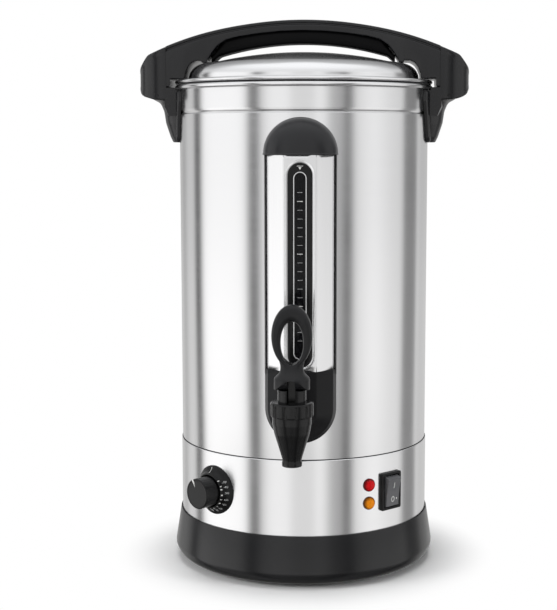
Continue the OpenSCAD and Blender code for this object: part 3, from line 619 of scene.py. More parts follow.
# ---- Finishes ----
@dataclass(frozen=True)
class Finish:
    """A finish: its name, the record's slot it follows (not used here), and its colour."""

    name: str
    slot: str
    colour: Colour

    def dress(self, piece: bpy.types.Object) -> None:
        """Gives the piece this finish.

        Args:
            piece: A new piece, or a node of the frame, whose slot the frame already names.
        """
        material = PAINTED.get(self.name)
        if material is None:
            material = PAINTED[self.name] = bpy.data.materials.new(self.name)
            self.paint(Tree(material))
            material.diffuse_color = rgba(self.colour)
        piece.data.materials.clear()
        piece.data.materials.append(material)

    def paint(self, tree: Tree) -> None:
        """Builds the nodes; each kind of finish has its own."""
        raise NotImplementedError


class Grain(Enum):
    """The way a sheet was brushed."""

    AROUND = "level lines round the body"
    TURNED = "rings about the centre line"
    UPRIGHT = "lines up and down"


@dataclass(frozen=True)
class BrushedSteel(Finish):
    """Stainless sheet with fine brushed lines and small cloudy changes of tone and gloss."""

    grain: Grain = Grain.AROUND
    roughness: float = 0.24
    anisotropy: float = 0.65
    pitch: float = 0.55
    depth: float = 0.006

    def paint(self, tree: Tree) -> None:
        """Lines come from noise stretched along the grain; clouds from broad noise.

        Args:
            tree: The material's empty tree.
        """
        x, y, z = tree.place()
        radius = (x * x + y * y).root()
        along = {Grain.AROUND: (x * 0.02, y * 0.02, z / self.pitch),
                 Grain.TURNED: (radius / self.pitch, z * 0.4, 0.0),
                 Grain.UPRIGHT: (x / self.pitch, y / self.pitch, z * 0.02)}[self.grain]
        lines = tree.noise(tree.vector(*along), 1.0, 3.0, 0.6)
        cloud = tree.noise(tree.vector(x * 0.012, y * 0.012, z * 0.02), 1.0, 2.0)
        tone = (lines - 0.5) * 0.30 + (cloud - 0.5) * 0.16 + 0.5
        colour = tree.blend(tone, rgba(self.colour, 0.90), rgba(self.colour, 1.10))
        rough = (lines - 0.5) * 0.10 + (cloud - 0.5) * 0.06 + self.roughness
        shader = tree.node("ShaderNodeBsdfPrincipled", {}, {
            "Base Color": colour, "Metallic": 1.0, "Roughness": rough, "Anisotropic": self.anisotropy,
            "Anisotropic Rotation": 0.25, "Normal": tree.bump(lines, 0.35, self.depth)})
        tree.surface(shader.outputs[0])


@dataclass(frozen=True)
class Moulded(Finish):
    """Moulded plastic or rubber: a fine spark-eroded grain, slight mottling and a soft sheen."""

    roughness: float = 0.42
    grain_size: float = 0.35
    grain_depth: float = 0.012
    mottle: float = 0.10
    gloss: float = 0.5

    def paint(self, tree: Tree) -> None:
        """Grain is fine noise in the bump; mottling varies the colour and the gloss a little.

        Args:
            tree: The material's empty tree.
        """
        x, y, z = tree.place()
        here = tree.vector(x, y, z)
        grain = tree.noise(here, 1.0 / self.grain_size, 2.0, 0.6)
        cloud = tree.noise(here, 0.035, 3.0, 0.55)
        tone = (cloud - 0.5) * 2.0 * self.mottle + (grain - 0.5) * 0.4 * self.mottle + 0.5
        colour = tree.blend(tone, rgba(self.colour, 0.8), rgba(self.colour, 1.2))
        shader = tree.node("ShaderNodeBsdfPrincipled", {}, {
            "Base Color": colour, "Roughness": (cloud - 0.5) * 0.08 + (grain - 0.5) * 0.06 + self.roughness,
            "Specular IOR Level": self.gloss, "Normal": tree.bump(grain, 0.4, self.grain_depth)})
        tree.surface(shader.outputs[0])


@dataclass(frozen=True)
class PlainMetal(Finish):
    """Unpolished metal: cast or drawn, with mottled gloss, a tint in patches and a fine rough skin."""

    roughness: float = 0.4
    tint: Colour = (0.5, 0.45, 0.4)
    tint_share: float = 0.25
    grain_size: float = 0.8

    def paint(self, tree: Tree) -> None:
        """Patches of tint come from broad noise, the skin from fine noise.

        Args:
            tree: The material's empty tree.
        """
        x, y, z = tree.place()
        here = tree.vector(x, y, z)
        patch = tree.noise(here, 0.09, 4.0, 0.6)
        skin = tree.noise(here, 1.0 / self.grain_size, 3.0, 0.6)
        colour = tree.blend(patch.ramp(0.35, 0.75, 0.0, self.tint_share), rgba(self.colour), rgba(self.tint))
        shader = tree.node("ShaderNodeBsdfPrincipled", {}, {
            "Base Color": colour, "Metallic": 1.0,
            "Roughness": (patch - 0.5) * 0.18 + (skin - 0.5) * 0.12 + self.roughness,
            "Normal": tree.bump(skin, 0.4, 0.03)})
        tree.surface(shader.outputs[0])


@dataclass(frozen=True)
class Lens(Finish):
    """A lamp's tinted lens: glossy, cut into small facets inside, with painted light: a brighter middle and a
    darker rim.
    """

    # Colour of the painted light in the lens's middle.
    painted_light_colour: Colour = (1.0, 0.3, 0.2)
    centre: tuple[float, float, float] = (0.0, 0.0, 0.0)
    radius: float = 5.7

    def paint(self, tree: Tree) -> None:
        """Facets are Voronoi cells; the painted light is brightest in the middle and fades to a painted
        darker rim at the lens's edge.

        Args:
            tree: The material's empty tree.
        """
        x, y, z = tree.place()
        dx, dy, dz = x - self.centre[0], y - self.centre[1], z - self.centre[2]
        away = (dx * dx + dy * dy + dz * dz).root()
        cells = tree.out("ShaderNodeTexVoronoi", {"feature": "F1"},
                         {"Vector": tree.vector(x, y, z), "Scale": 0.85, "Randomness": 0.35})
        # Painted light: the middle painted bright and the rim dark, with a faint emission of the same colour.
        painted_light_share = away.ramp(self.radius * 0.58, self.radius * 0.99, 1.0, 0.0)
        share = painted_light_share * 0.85 + (0.5 - cells) * 0.4
        colour = tree.blend(share, rgba(self.colour, 0.24), rgba(self.painted_light_colour))
        shader = tree.node("ShaderNodeBsdfPrincipled", {}, {
            "Base Color": colour, "Roughness": cells * 0.15 + 0.10, "Specular IOR Level": 0.16,
            "Emission Color": colour, "Emission Strength": 0.02, "Normal": tree.bump(cells, 0.5, 0.25)})
        tree.surface(shader.outputs[0])


@dataclass(frozen=True)
class Clear(Finish):
    """Clear or smoked plastic and glass: shows what is behind it, with fine streaks in its gloss."""

    cover: float = 0.5
    roughness: float = 0.06
    gloss: float = 0.5

    def paint(self, tree: Tree) -> None:
        """Covers part of what is behind; streaks run up and down.

        Args:
            tree: The material's empty tree.
        """
        x, y, z = tree.place()
        streak = tree.noise(tree.vector(x * 0.9, y * 0.9, z * 0.03), 1.0, 3.0)
        colour = tree.blend(streak, rgba(self.colour, 0.85), rgba(self.colour, 1.15))
        shader = tree.node("ShaderNodeBsdfPrincipled", {}, {
            "Base Color": colour, "Roughness": (streak - 0.5) * 0.05 + self.roughness,
            "Alpha": (streak - 0.5) * 0.06 + self.cover, "Specular IOR Level": self.gloss})
        tree.surface(shader.outputs[0])


@dataclass(frozen=True)
class Ink(Finish):
    """Printed marks: slightly uneven ink that dries matt."""

    roughness: float = 0.5

    def paint(self, tree: Tree) -> None:
        """Uneven cover comes from fine noise.

        Args:
            tree: The material's empty tree.
        """
        x, y, z = tree.place()
        fleck = tree.noise(tree.vector(x, y, z), 3.0, 2.0)
        colour = tree.blend(fleck, rgba(self.colour, 0.82), rgba(self.colour, 1.05))
        shader = tree.node("ShaderNodeBsdfPrincipled", {}, {
            "Base Color": colour, "Roughness": (fleck - 0.5) * 0.2 + self.roughness})
        tree.surface(shader.outputs[0])


STEEL = BrushedSteel("brushed_body_steel", "steel", (0.80, 0.80, 0.81))
LID_STEEL = BrushedSteel("turned_lid_steel", "lid_steel", (0.80, 0.80, 0.81), Grain.TURNED, 0.22, 0.5)
GAUGE_STEEL = BrushedSteel("pressed_gauge_steel", "steel", (0.81, 0.81, 0.82), Grain.UPRIGHT, 0.2, 0.2, 0.8)
INNER_STEEL = BrushedSteel("plain_inner_steel", "steel_inside", (0.70, 0.70, 0.71),
                           Grain.AROUND, 0.34, 0.3, 1.1)
BASE_BLACK = Moulded("base_black", "black", (0.0060, 0.0061, 0.0072), 0.25, gloss=0.42)
HANDLE_BLACK = Moulded("satin_handle_black", "handle_black", (0.0060, 0.0061, 0.0072), 0.24,
                       mottle=0.07, gloss=0.42)
# The grip shares the handle's black plastic; its colour is painted darker and its gloss turned down, as
# painted shade under the arch.
GRIP_PAINTED_SHADE_BLACK = Moulded("grip_painted_shade_black", "handle_black", (0.0028, 0.0028, 0.0031), 0.5, gloss=0.10)
PART_BLACK = Moulded("part_black", "black", (0.0060, 0.0060, 0.0066), 0.34, gloss=0.2)
TAP_BLACK = Moulded("glossy_tap_black", "tap_black", (0.0036, 0.0036, 0.0040), 0.21,
                    grain_depth=0.006, gloss=0.30)
LEVER_BLACK = Moulded("lever_black", "black", (0.0080, 0.0081, 0.0090), 0.37, grain_size=0.5, gloss=0.28)
GAUGE_BLACK = Moulded("gauge_bezel_black", "gauge_black", (0.0026, 0.0026, 0.0029), 0.25,
                      grain_depth=0.004, gloss=0.28)
# Cap and housing are one black plastic: the cap is painted lighter as painted light, the housing darker as
# painted shade.
CAP_PAINTED_LIT_BLACK = Moulded("gauge_cap_painted_lit_black", "gauge_black", (0.0130, 0.0131, 0.0148), 0.32, gloss=0.36)
HOUSING_PAINTED_SHADE_BLACK = Moulded("gauge_housing_painted_shade_black", "gauge_black", (0.0062, 0.0062, 0.0070), 0.35, gloss=0.16)
DIAL_BLACK = Moulded("dial_black", "black", (0.0030, 0.0030, 0.0033), 0.24, grain_depth=0.004, gloss=0.25)
KNOB_BLACK = Moulded("knob_black", "black", (0.0040, 0.0040, 0.0045), 0.30, grain_depth=0.006, gloss=0.30)
ROCKER_BLACK = Moulded("rocker_black", "black", (0.105, 0.106, 0.112), 0.28, gloss=0.35)
RUBBER = Moulded("foot_rubber", "rubber", (0.022, 0.022, 0.023), 0.7, grain_size=0.6, gloss=0.3)
# Dark grey for the strips along the gauge channel's sides: painted shade where the channel meets the wall.
EDGE_SHADE_GREY = Moulded("gauge_edge_shade_grey", "rubber", (0.14, 0.14, 0.14), 0.6, grain_size=0.6, gloss=0.2)
SILICONE = Moulded("milky_silicone", "silicone", (0.62, 0.62, 0.60), 0.45, mottle=0.2)
NYLON = Moulded("white_nylon", "white_plastic", (0.78, 0.77, 0.73), 0.38)
PHENOLIC = Moulded("pale_phenolic", "ceramic_body", (0.68, 0.65, 0.57), 0.5, mottle=0.25)
HEAT_ALLOY = PlainMetal("cast_aluminium", "heater_aluminium", (0.72, 0.73, 0.74), 0.42,
                        (0.45, 0.44, 0.42), 0.4)
SHEATH = PlainMetal("heater_sheath", "heater_sheath", (0.34, 0.33, 0.31), 0.45, (0.28, 0.20, 0.15), 0.5)
COPPER = PlainMetal("drawn_copper", "copper", (0.72, 0.42, 0.28), 0.3, (0.40, 0.22, 0.14), 0.4)
BRASS = PlainMetal("plated_brass", "brass", (0.80, 0.70, 0.45), 0.25, (0.6, 0.48, 0.28), 0.3)
TRIM_SILVER = PlainMetal("silver_trim", "steel", (0.82, 0.82, 0.83), 0.22, (0.6, 0.6, 0.62), 0.2, 0.5)
SMOKED = Clear("smoked_window", "window", (0.006, 0.006, 0.007), 0.90, 0.10, 0.16)
TUBE_GLASS = Clear("clear_tube", "clear_tube", (0.75, 0.80, 0.82), 0.30, 0.05)
WHITE_INK = Ink("white_ink", "white_plastic", (0.80, 0.80, 0.78))
GREY_INK = Ink("grey_ink", "white_plastic", (0.45, 0.45, 0.45))


# ---- Sizes that the pieces share ----
BODY_R = 112.0
SKIRT_R = 112.8
SKIRT_TOP = 111.8
RIM_Z = 431.0
SEAM_R = 124.0
ARCH_TOP = 488.7
ARCH_R = 328.0
CONTROL_Z = 78.65
HANDLE_SEAT_R = BODY_R + 0.1
GAUGE_SEAT_R = BODY_R + 0.08
URN, LEVER, KNOB, ROCKER, SEAL, LID = "urn", "lever", "knob", "rocker", "seal", "lid"


@dataclass
class Body:
    """The base ring, the control band and the vessel."""

    base_top: float = 45.5
    base_flare: float = 119.0
    base_round: float = 12.5
    wall: float = 1.0
    bead_z: float = 407.7
    floor_z: float = 104.0
    openings: tuple[tuple[float, float, float, float], ...] = (
        (44.8, 10.55, 63.7, 93.6), (180.0, 13.45, 68.7, 88.6))

    def base_ring(self) -> None:
        """Turned from a profile: flared wall, rounded foot and a fine lip under the band."""
        flare, foot, inner = self.base_flare, 2.0, 3.0
        centre = (flare - self.base_round, foot + self.base_round)
        outer = arc(*centre, self.base_round, -90, 0, 16)
        inside = arc(*centre, self.base_round - inner, 0, -90, 12)
        upper = rounded([(flare, centre[1]), (114.1, self.base_top, 0.5), (113.5, self.base_top - 0.1, 0.15),
                         (113.4, self.base_top - 1.8, 0.1), (112.9, self.base_top - 1.9, 0.1), (112.9, 41.6),
                         (109.8, 41.5), (flare - inner, centre[1])], 0.3, closed=False)
        profile = np.concatenate([outer, upper[1:-1], inside, [[97.8, 5.0], [97.8, 2.0]]])
        Skin().lathed(profile, 200).build(
            "base_ring_moulding", URN, BASE_BLACK, stands_for=["base_ring"])

    def band(self) -> None:
        """A sheet round the controls, left open behind the switch and the inlet, with rolled edges."""
        edges = [0.0]
        for azimuth, half, _, _ in self.openings:
            turn = math.degrees(math.asin(half / SKIRT_R))
            edges += [azimuth - turn, azimuth + turn]
        angle = np.unique(np.round(np.concatenate([np.linspace(0, 360, 241), edges]), 4))[:-1]
        level = np.unique(np.concatenate([np.linspace(42.4, SKIRT_TOP - 0.9, 24),
                                          [z for o in self.openings for z in o[2:]]]))
        roll_low = arc(SKIRT_R - 0.8, 42.4, 0.8, -80, 0, 5)[:-1]
        roll_top = arc(SKIRT_R - 0.8, SKIRT_TOP - 0.8, 0.8, 0, 80, 6)
        line = np.concatenate([roll_low, np.stack([np.full_like(level, SKIRT_R), level], 1), roll_top])
        mid_angle = (angle + np.append(angle[1:], angle[0] + 360.0)) / 2
        mid_level = (line[:-1, 1] + line[1:, 1]) / 2
        keep = np.ones((len(angle), len(mid_level)), bool)
        for azimuth, half, low, high in self.openings:
            turn = math.degrees(math.asin(half / SKIRT_R))
            near = np.abs((mid_angle - azimuth + 180.0) % 360.0 - 180.0) < turn
            keep &= ~(near[:, None] & ((mid_level > low) & (mid_level < high))[None, :])
        sheet = about_axis(np.radians(angle), line[:, 0], line[:, 1])
        Skin().grid(sheet, wrap_u=True, keep=keep).build(
            "control_band", URN, STEEL, stands_for=["skirt_band"], wall=0.6,
            about=np.array([0, 0, CONTROL_Z]))

    def vessel(self) -> None:
        """Turned from a closed profile: floor, wall, pressed groove and rolled rim."""
        inner, bead, corner = BODY_R - self.wall, self.bead_z, self.floor_z + 6.0
        rim = arc(BODY_R + 1.85, RIM_Z - 2.15, 2.15, 212, 508, 32)
        seam = SKIRT_TOP + 0.3
        press = 1.3
        outer = rounded([(BODY_R, corner), (BODY_R, seam - 0.9, 0.2), (BODY_R - 0.6, seam - 0.6, 0.2),
                         (BODY_R - 0.6, seam + 0.1, 0.2), (BODY_R, seam + 0.3, 0.2),
                         (BODY_R, bead - 2.5, 0.3), (BODY_R - press, bead - 2.0, 0.3),
                         (BODY_R - press, bead - 1.6, 0.4), (BODY_R - 0.4, bead + 0.1, 1.5),
                         (BODY_R, bead + 1.9, 1.0), (BODY_R, RIM_Z - 4.2)], 1.0, closed=False, steps=4)
        inside = rounded([(inner, RIM_Z - 2.0), (inner, bead + 2.0, 0.8), (inner - press, bead - 1.2, 0.9),
                          (inner - press, bead - 2.2, 0.6), (inner, bead - 3.4, 0.6), (inner, corner)], 1.0,
                         closed=False, steps=4)
        profile = np.concatenate([
            [[0.0, self.floor_z], [60.0, self.floor_z]], arc(BODY_R - 6, corner, 6, -90, 0, 10)[:-1],
            outer, rim, inside, arc(BODY_R - 6, corner, 5, 0, -90, 10)[1:],
            [[60.0, self.floor_z + 1.0], [0.0, self.floor_z + 1.0]]])
        Skin().lathed(profile, 240, closed=False).build("vessel_shell", URN, STEEL, stands_for=["vessel"])
        # A dark rubber ring in the joint between band and vessel: painted shade, a dark line where the joint
        # lies in shadow.
        joint = rounded([(BODY_R - 0.3, SKIRT_TOP - 0.9), (SKIRT_R - 0.35, SKIRT_TOP - 0.9),
                         (SKIRT_R - 0.35, SKIRT_TOP + 0.1), (BODY_R - 0.3, SKIRT_TOP + 0.5)], 0.15)
        Skin().lathed(joint, 240).build("band_joint_shade_ring", URN, RUBBER)

    def build(self) -> None:
        """Builds the body's pieces and the dark ring between band and vessel, which paints in the joint's
        shade.
        """
        self.base_ring()
        self.band()
        self.vessel()


@dataclass
class Lid:
    """The domed lid with its locating ring and seal."""

    flange_z: float = 434.6
    ring_top: float = 450.4
    dome_top: float = 460.6
    dome_r: float = 85.0
    shoulder_r: float = 103.5
    sheet: float = 0.8

    def pan(self) -> None:
        """Turned: shallow dome, crisp step, rounded shoulder, flat flange and rolled edge."""
        top, ring = self.dome_top, self.ring_top
        radius = (self.dome_r**2 + (top - ring) ** 2) / (2 * (top - ring))
        x = np.linspace(0.0, self.dome_r, 40)
        dome = np.stack([x, crown(top, radius, x)], 1)
        t = np.radians(np.linspace(90, 0, 22))
        inner_r, spring = 88.0, self.flange_z + 2.4
        rise = ring - self.flange_z - 2.4
        shoulder = np.stack([inner_r + (self.shoulder_r - inner_r) * np.cos(t), spring + rise * np.sin(t)], 1)
        step = np.array([[85.25, ring - 0.15], [85.7, ring - 0.25], [86.6, ring - 0.1]])
        foot = rounded([(self.shoulder_r, spring), (self.shoulder_r + 0.4, self.flange_z + 0.7, 0.8),
                        (self.shoulder_r + 1.9, self.flange_z, 0.6), (BODY_R + 1, self.flange_z)], 0.8,
                       closed=False)
        roll = arc(BODY_R + 2.3, self.flange_z - 1.0, 1.6, 142, -142, 22)
        outside = np.concatenate([dome, step, shoulder, foot[1:-1], [[BODY_R + 0.6, self.flange_z]], roll])
        under = np.array([[BODY_R + 1, self.flange_z - 0.8], [self.shoulder_r + 1.4, self.flange_z - 0.8],
                          [self.shoulder_r - 0.2, self.flange_z + 0.2]])
        t = t[::-1]
        inside = np.stack([inner_r + (self.shoulder_r - 88.8) * np.cos(t),
                           spring + (rise - self.sheet) * np.sin(t)], 1)
        below = np.stack([x[::-1], crown(top, radius, x[::-1]) - self.sheet], 1)
        profile = np.concatenate([outside, under, inside, below])
        Skin().lathed(profile, 240, closed=False).build(
            "lid_dome", LID, LID_STEEL, sharp=28.0, stands_for=["lid_pan"])

    def ring(self) -> None:
        """The plain ring that drops into the vessel, with a rolled lower edge."""
        low, top, out = 419.8, 433.8, 106.4
        profile = rounded([(out, low), (out, top), (out - 0.8, top), (out - 0.8, low)], 0.35)
        Skin().lathed(profile, 200).build(
            "lid_locating_ring", LID, INNER_STEEL, stands_for=["lid_plug_ring"])

    def seal(self) -> None:
        """A soft ring between the lid's flange and the rim, with a lip that wipes the wall."""
        profile = rounded([(106.5, 424.8), (110.4, 425.8), (110.4, 431.05), (114.6, 431.05), (114.6, 431.75),
                           (112.4, 431.75), (112.4, 433.7), (106.5, 433.7)], 0.5)
        Skin().lathed(profile, 200).build(
            "lid_seal_ring", SEAL, RUBBER, stands_for=["lid_seal"])

    def build(self) -> None:
        """Builds the lid's turned pieces."""
        self.pan()
        self.ring()
        self.seal()


@dataclass
class Arch:
    """The handle across the lid: shell with deep ends, top strip and the grip set into it, painted darker as
    shade.
    """

    crown_half: float = 17.0
    end_half: float = 24.5
    strip: float = 3.0
    samples: int = 241

    def half_width(self, x: Array) -> Array:
        """Half width in plan: narrow over the crown, swelling smoothly to the ends."""
        return self.crown_half + (self.end_half - self.crown_half) * smooth_step(40.0, 102.0, np.abs(x))

    @staticmethod
    def ended(points: Array, radius: float = SEAM_R - 0.02) -> Array:
        """Stops the shape at the seam's cylinder: x is held within sqrt(radius^2 - y^2).

        Args:
            points: (..., 3) points.
            radius: The cylinder's radius.

        Returns:
            The held points.
        """
        limit = out_to(radius, points[..., 1])
        held = np.clip(points[..., 0], -limit, limit)
        return np.stack([held, points[..., 1], points[..., 2]], axis=-1)

    def along(self, extra: Sequence[float] = ()) -> Array:
        """Places along X: even ones, and those where the lower edge turns.

        Args:
            extra: Further places, taken on both sides.

        Returns:
            Places in rising order.
        """
        far = SEAM_R + 2.5
        both = np.concatenate([np.linspace(-far, far, self.samples), extra, -np.asarray(extra, float)])
        return np.unique(np.round(both, 3))

    def lower_edge(self, x: Array) -> Array:
        """The shell's lower edge: an arc over the grip, a slanted cheek, the lid's shoulder, a slot.

        Args:
            x: Places along X.

        Returns:
            Heights.
        """
        line = rounded([(0, 479.4), (20, 478.76), (40, 476.84), (58, 474.0, 6), (68.4, 471.2, 6),
                        (75.9, 466.0, 5), (81.4, 458.9, 4), (84.6, 453.6, 1.5), (85.3, 450.9, 0.4),
                        (89.7, 450.9, 0.4), (90.3, 452.6, 0.5), (96.0, 452.4, 4), (100.0, 449.9, 4),
                        (102.6, 446.0, 4), (104.6, 440.9, 3), (105.0, 436.6, 0.5), (118.2, 436.3, 0.5),
                        (118.6, 429.3, 0.4), (128.0, 429.3)], 2.0, closed=False)
        return height_on(line, np.abs(x))

    def shell(self) -> None:
        """Rounded upright sections from the lower edge to just under the strip."""
        x = self.along([84.7, 85.2, 85.3, 89.6, 89.8, 90.2, 90.4, 104.5, 104.7, 104.9, 118.1, 118.3, 118.5,
                        118.7, 123.9])
        top = crown(ARCH_TOP - self.strip - 0.9, ARCH_R - self.strip - 0.9, x)
        body = self.ended(sections(x, self.half_width(x), self.lower_edge(x), top, 1.5, 6))
        neck_low, neck_top = top - 2.0, crown(ARCH_TOP - self.strip + 0.3, ARCH_R - self.strip + 0.3, x)
        neck = self.ended(sections(x, self.half_width(x) - 1.3, neck_low, neck_top, 0.3, 2), SEAM_R - 0.4)
        Skin().tube(body).tube(neck).build("arch_shell", LID, HANDLE_BLACK, stands_for=["lid_handle"])

    def top_strip(self) -> None:
        """A thin rounded strip that follows the crown's curve."""
        x = self.along([123.9])
        low = crown(ARCH_TOP - self.strip, ARCH_R - self.strip, x) + 0.05
        strip = self.ended(sections(x, self.half_width(x) - 0.2, low, crown(ARCH_TOP, ARCH_R, x), 1.45, 6))
        Skin().tube(strip).build("arch_strip", LID, HANDLE_BLACK, stands_for=["lid_handle_strip"])

    def grip(self) -> None:
        """The insert under the hand: rounded below, and drawn down to the lid at its feet."""
        x = np.unique(np.round(np.concatenate([np.linspace(-82, 82, 165), [-81.9, 81.9]]), 3))
        far = np.abs(x)
        arch = crown(468.0, 262.0, np.minimum(far, 76.0))
        low = np.where(far <= 75.4, arch, np.interp(far, [75.4, 79.4, 82.0], [456.9, 453.6, 452.3]))
        low = np.maximum(low, 452.2)
        top = np.minimum(crown(481.2, 320.7, x), 457.0 + np.maximum(82.0 - far, 0.0) * 1.35)
        grip = sections(x, np.full_like(x, 14.1), low, np.maximum(top, low + 2.0), 5.5, 8)
        # Its finish is the handle's black painted darker: painted shade under the arch.
        Skin().tube(grip).build("arch_grip", LID, GRIP_PAINTED_SHADE_BLACK, stands_for=["lid_handle_grip"])

    def build(self) -> None:
        """Builds the arch's three pieces."""
        self.shell()
        self.top_strip()
        self.grip()


@dataclass
class SideHandle:
    """A handle at the side: a hooded block that carries on the arch, with a leg and pad at the wall."""

    side: int = 1
    reach: float = 148.5
    half: float = 24.5
    wall: float = 3.5
    leg_z: float = 380.4
    leg_axis: float = 104.0
    end_x: float = 124.0
    pocket_top: float = 440.4

    def turned(self, points: Array) -> Array:
        """Puts points built for the right side on this handle's side."""
        return points if self.side > 0 else mirrored(points)

    def top(self, x: Array) -> Array:
        """Upper edge: the arch's curve, then the rounded nose.

        Args:
            x: Places along X, on the right side.

        Returns:
            Heights.
        """
        nose = rounded([(110, float(crown(ARCH_TOP, ARCH_R, np.array(110.0)))),
                        (139.2, float(crown(ARCH_TOP, ARCH_R, np.array(139.2))), 9),
                        (self.reach + 0.02, 446.5, 7), (self.reach + 0.02, 436.0)], 7.0, closed=False,
                       steps=10)
        arch = crown(ARCH_TOP, ARCH_R, np.minimum(x, 139.0))
        return np.minimum(arch, height_on(nose, x))

    def under(self, x: Array) -> Array:
        """Lower edge: level beside the leg, a concave sweep, then rising to the nose.

        Args:
            x: Places along X, on the right side.

        Returns:
            Heights.
        """
        line = rounded([(118.0, 417.6), (133.0, 418.2, 6), (143.0, 420.9, 8), (146.4, 422.6, 4),
                        (self.reach + 0.02, 427.2, 3), (self.reach + 0.03, 436.0)], 4.0, closed=False,
                       steps=8)
        return height_on(line, x)

    def plan(self) -> Array:
        """Plan of the block: straight sides from the seam, then a half circle about the end's centre.

        Returns:
            (79, 2) points of x and y.
        """
        radius = self.half
        turn = np.radians(np.linspace(-90, 90, 73))
        start = float(out_to(SEAM_R + 0.16, radius))
        straight = np.linspace(start, self.end_x, 4)[:-1]
        return np.concatenate([np.stack([straight, np.full(3, -radius)], 1),
                               np.stack([self.end_x + radius * np.cos(turn), radius * np.sin(turn)], 1),
                               np.stack([straight[::-1], np.full(3, radius)], 1)])

    def block(self) -> Array:
        """The hood: from the top's middle over the edge, down the wall, round the lip, into the pocket.

        Returns:
            (79, rings, 3) points, a row for each point of the plan.
        """
        edge, lip, inset = 1.6, 1.6, 0.2
        outer = self.plan()
        count = len(outer)
        normal = outline_normals(np.concatenate([outer, [[110.0, 0.0]]]))[:count]
        normal[:3], normal[-3:] = [0.0, -1.0], [0.0, 1.0]
        columns: list[Array] = []

        def ring(flat: Array, height: Array) -> None:
            """Keeps one ring of points."""
            columns.append(np.stack([flat[:, 0], flat[:, 1], height], axis=1))

        for share in np.linspace(0.0, 1.0, 9)[:-1]:
            flat = outer - normal * edge
            flat = np.stack([flat[:, 0], flat[:, 1] * share], axis=1)
            ring(flat, self.top(flat[:, 0]))
        for angle in np.radians(np.linspace(0, 90, 7)):
            flat = outer - normal * edge * (1 - math.sin(angle))
            ring(flat, self.top(flat[:, 0]) - edge * (1 - math.cos(angle)))
        low, high = self.under(outer[:, 0]) + lip, self.top(outer[:, 0]) - edge
        for drop, push in ((0.9, 0.0), (1.5, 0.1), (1.9, 0.5), (2.3, 1.0)):
            ring(outer - normal * inset * push, high - drop)
        for share in np.linspace(0, 1, 13)[1:]:
            height = (high - 2.3) + (low + 3.6 - high + 2.3) * share
            ring(outer - normal * inset, height)
        for rise, push in ((2.9, 0.75), (2.2, 0.3), (1.4, 0.05), (0.0, 0.0)):
            ring(outer - normal * inset * push, low + rise)
        for angle in np.radians(np.linspace(0, 180, 9))[1:]:
            flat = outer - normal * lip * (1 - math.cos(angle))
            ring(flat, self.under(outer[:, 0]) + lip * (1 - math.sin(angle)))
        pocket = outer - normal * self.wall
        pocket[:, 0] = np.maximum(pocket[:, 0], 128.5)
        ring(pocket, self.under(pocket[:, 0]) + 0.4)
        for height, shrink in ((430.0, 0.0), (439.0, 0.0), (self.pocket_top, 1.0)):
            ring(pocket - normal * shrink, np.full(count, height))
        ring(np.stack([pocket[:, 0], pocket[:, 1] * 0.0], 1), np.full(count, self.pocket_top))
        return np.stack(columns, axis=1)

    def leg(self) -> Array:
        """Half a cone about the bolts' line that flares into the hood; y is held within the hood's sides.

        Returns:
            (61, n, 3) points, a row for each turn about the bolts' line.
        """
        line = rounded([(8.0, self.leg_z), (15.0, self.leg_z, 1.6), (17.4, self.leg_z + 5, 5),
                        (21.4, 397.5, 20), (22.9, 408.0, 12), (26.0, 415.4, 7), (33.0, 419.2, 6),
                        (36.0, 423.0)], 3.0, closed=False, steps=8)
        turn = np.radians(np.linspace(-90, 90, 61))
        x = self.leg_axis + np.cos(turn)[:, None] * line[:, 0]
        y = np.clip(np.sin(turn)[:, None] * line[:, 0], -self.half + 0.3, self.half - 0.3)
        x = np.maximum(x, out_to(HANDLE_SEAT_R, y))
        return np.stack([x, y, np.broadcast_to(line[:, 1], x.shape)], axis=2)

    def flange(self) -> Array:
        """The pad against the wall: its half width grows upwards, and its edges are rounded over.

        Returns:
            (24, 45, 3) points, a row for each height.
        """
        height = np.linspace(self.leg_z, 426.2, 24)
        half = np.interp(height, [380.4, 384.4, 418.3, 426.3], [19.0, 25.0, 35.0, 33.0])
        across = np.concatenate([[-1.0, -1.0], np.linspace(-1.0, 1.0, 41), [1.0, 1.0]])
        near = np.abs(across)
        thick = np.full_like(across, 3.5)
        thick[[0, -1]], thick[[1, -2]], thick[[2, -3]] = 0.05, 2.4, 3.1
        pull = np.zeros_like(across)
        pull[2:-2] = np.sign(across[2:-2]) * smooth_step(0.9, 1.0, near[2:-2]) * 0.9
        y = half[:, None] * across - pull
        rim = np.minimum(1.0, np.minimum(height - self.leg_z, 426.2 - height)[:, None] / 0.9 + 0.55)
        radius = HANDLE_SEAT_R + thick * rim
        return np.stack([out_to(radius, y), y, np.broadcast_to(height[:, None], y.shape)], axis=2)

    def saddle(self) -> Array:
        """The part under the rim: a section in radius and height, with flat sides across the handle.

        Returns:
            (25, n, 3) points, a section for each place across.
        """
        line = rounded([(112.1, 404.0), (112.1, 426.3), (116.3, 426.3), (116.3, 428.9), (125.0, 428.9),
                        (125.5, 412.0), (122.0, 404.0)], 0.4)
        share = np.linspace(-1.0, 1.0, 25)
        y = share[:, None] * np.full(len(line), self.half - 0.05)
        return np.stack([out_to(line[:, 0], y), y, np.broadcast_to(line[:, 1], y.shape)], axis=2)

    def build(self) -> None:
        """Joins the hood, leg, pad and saddle in one piece."""
        word = "right" if self.side > 0 else "left"
        skin = Skin()
        hood = self.turned(self.block())
        skin.grid(hood)
        skin.grid(np.stack([hood[0], hood[-1]], axis=0))
        leg = self.turned(self.leg())
        skin.grid(leg).grid(np.stack([leg[0], leg[-1]], axis=0)).fan(leg[:, 0])
        pad = self.turned(self.flange())
        skin.grid(pad)
        skin.tube(self.turned(self.saddle()))
        skin.build(f"side_handle_{word}_moulding", URN, HANDLE_BLACK, stands_for=[f"side_handle_{word}"])


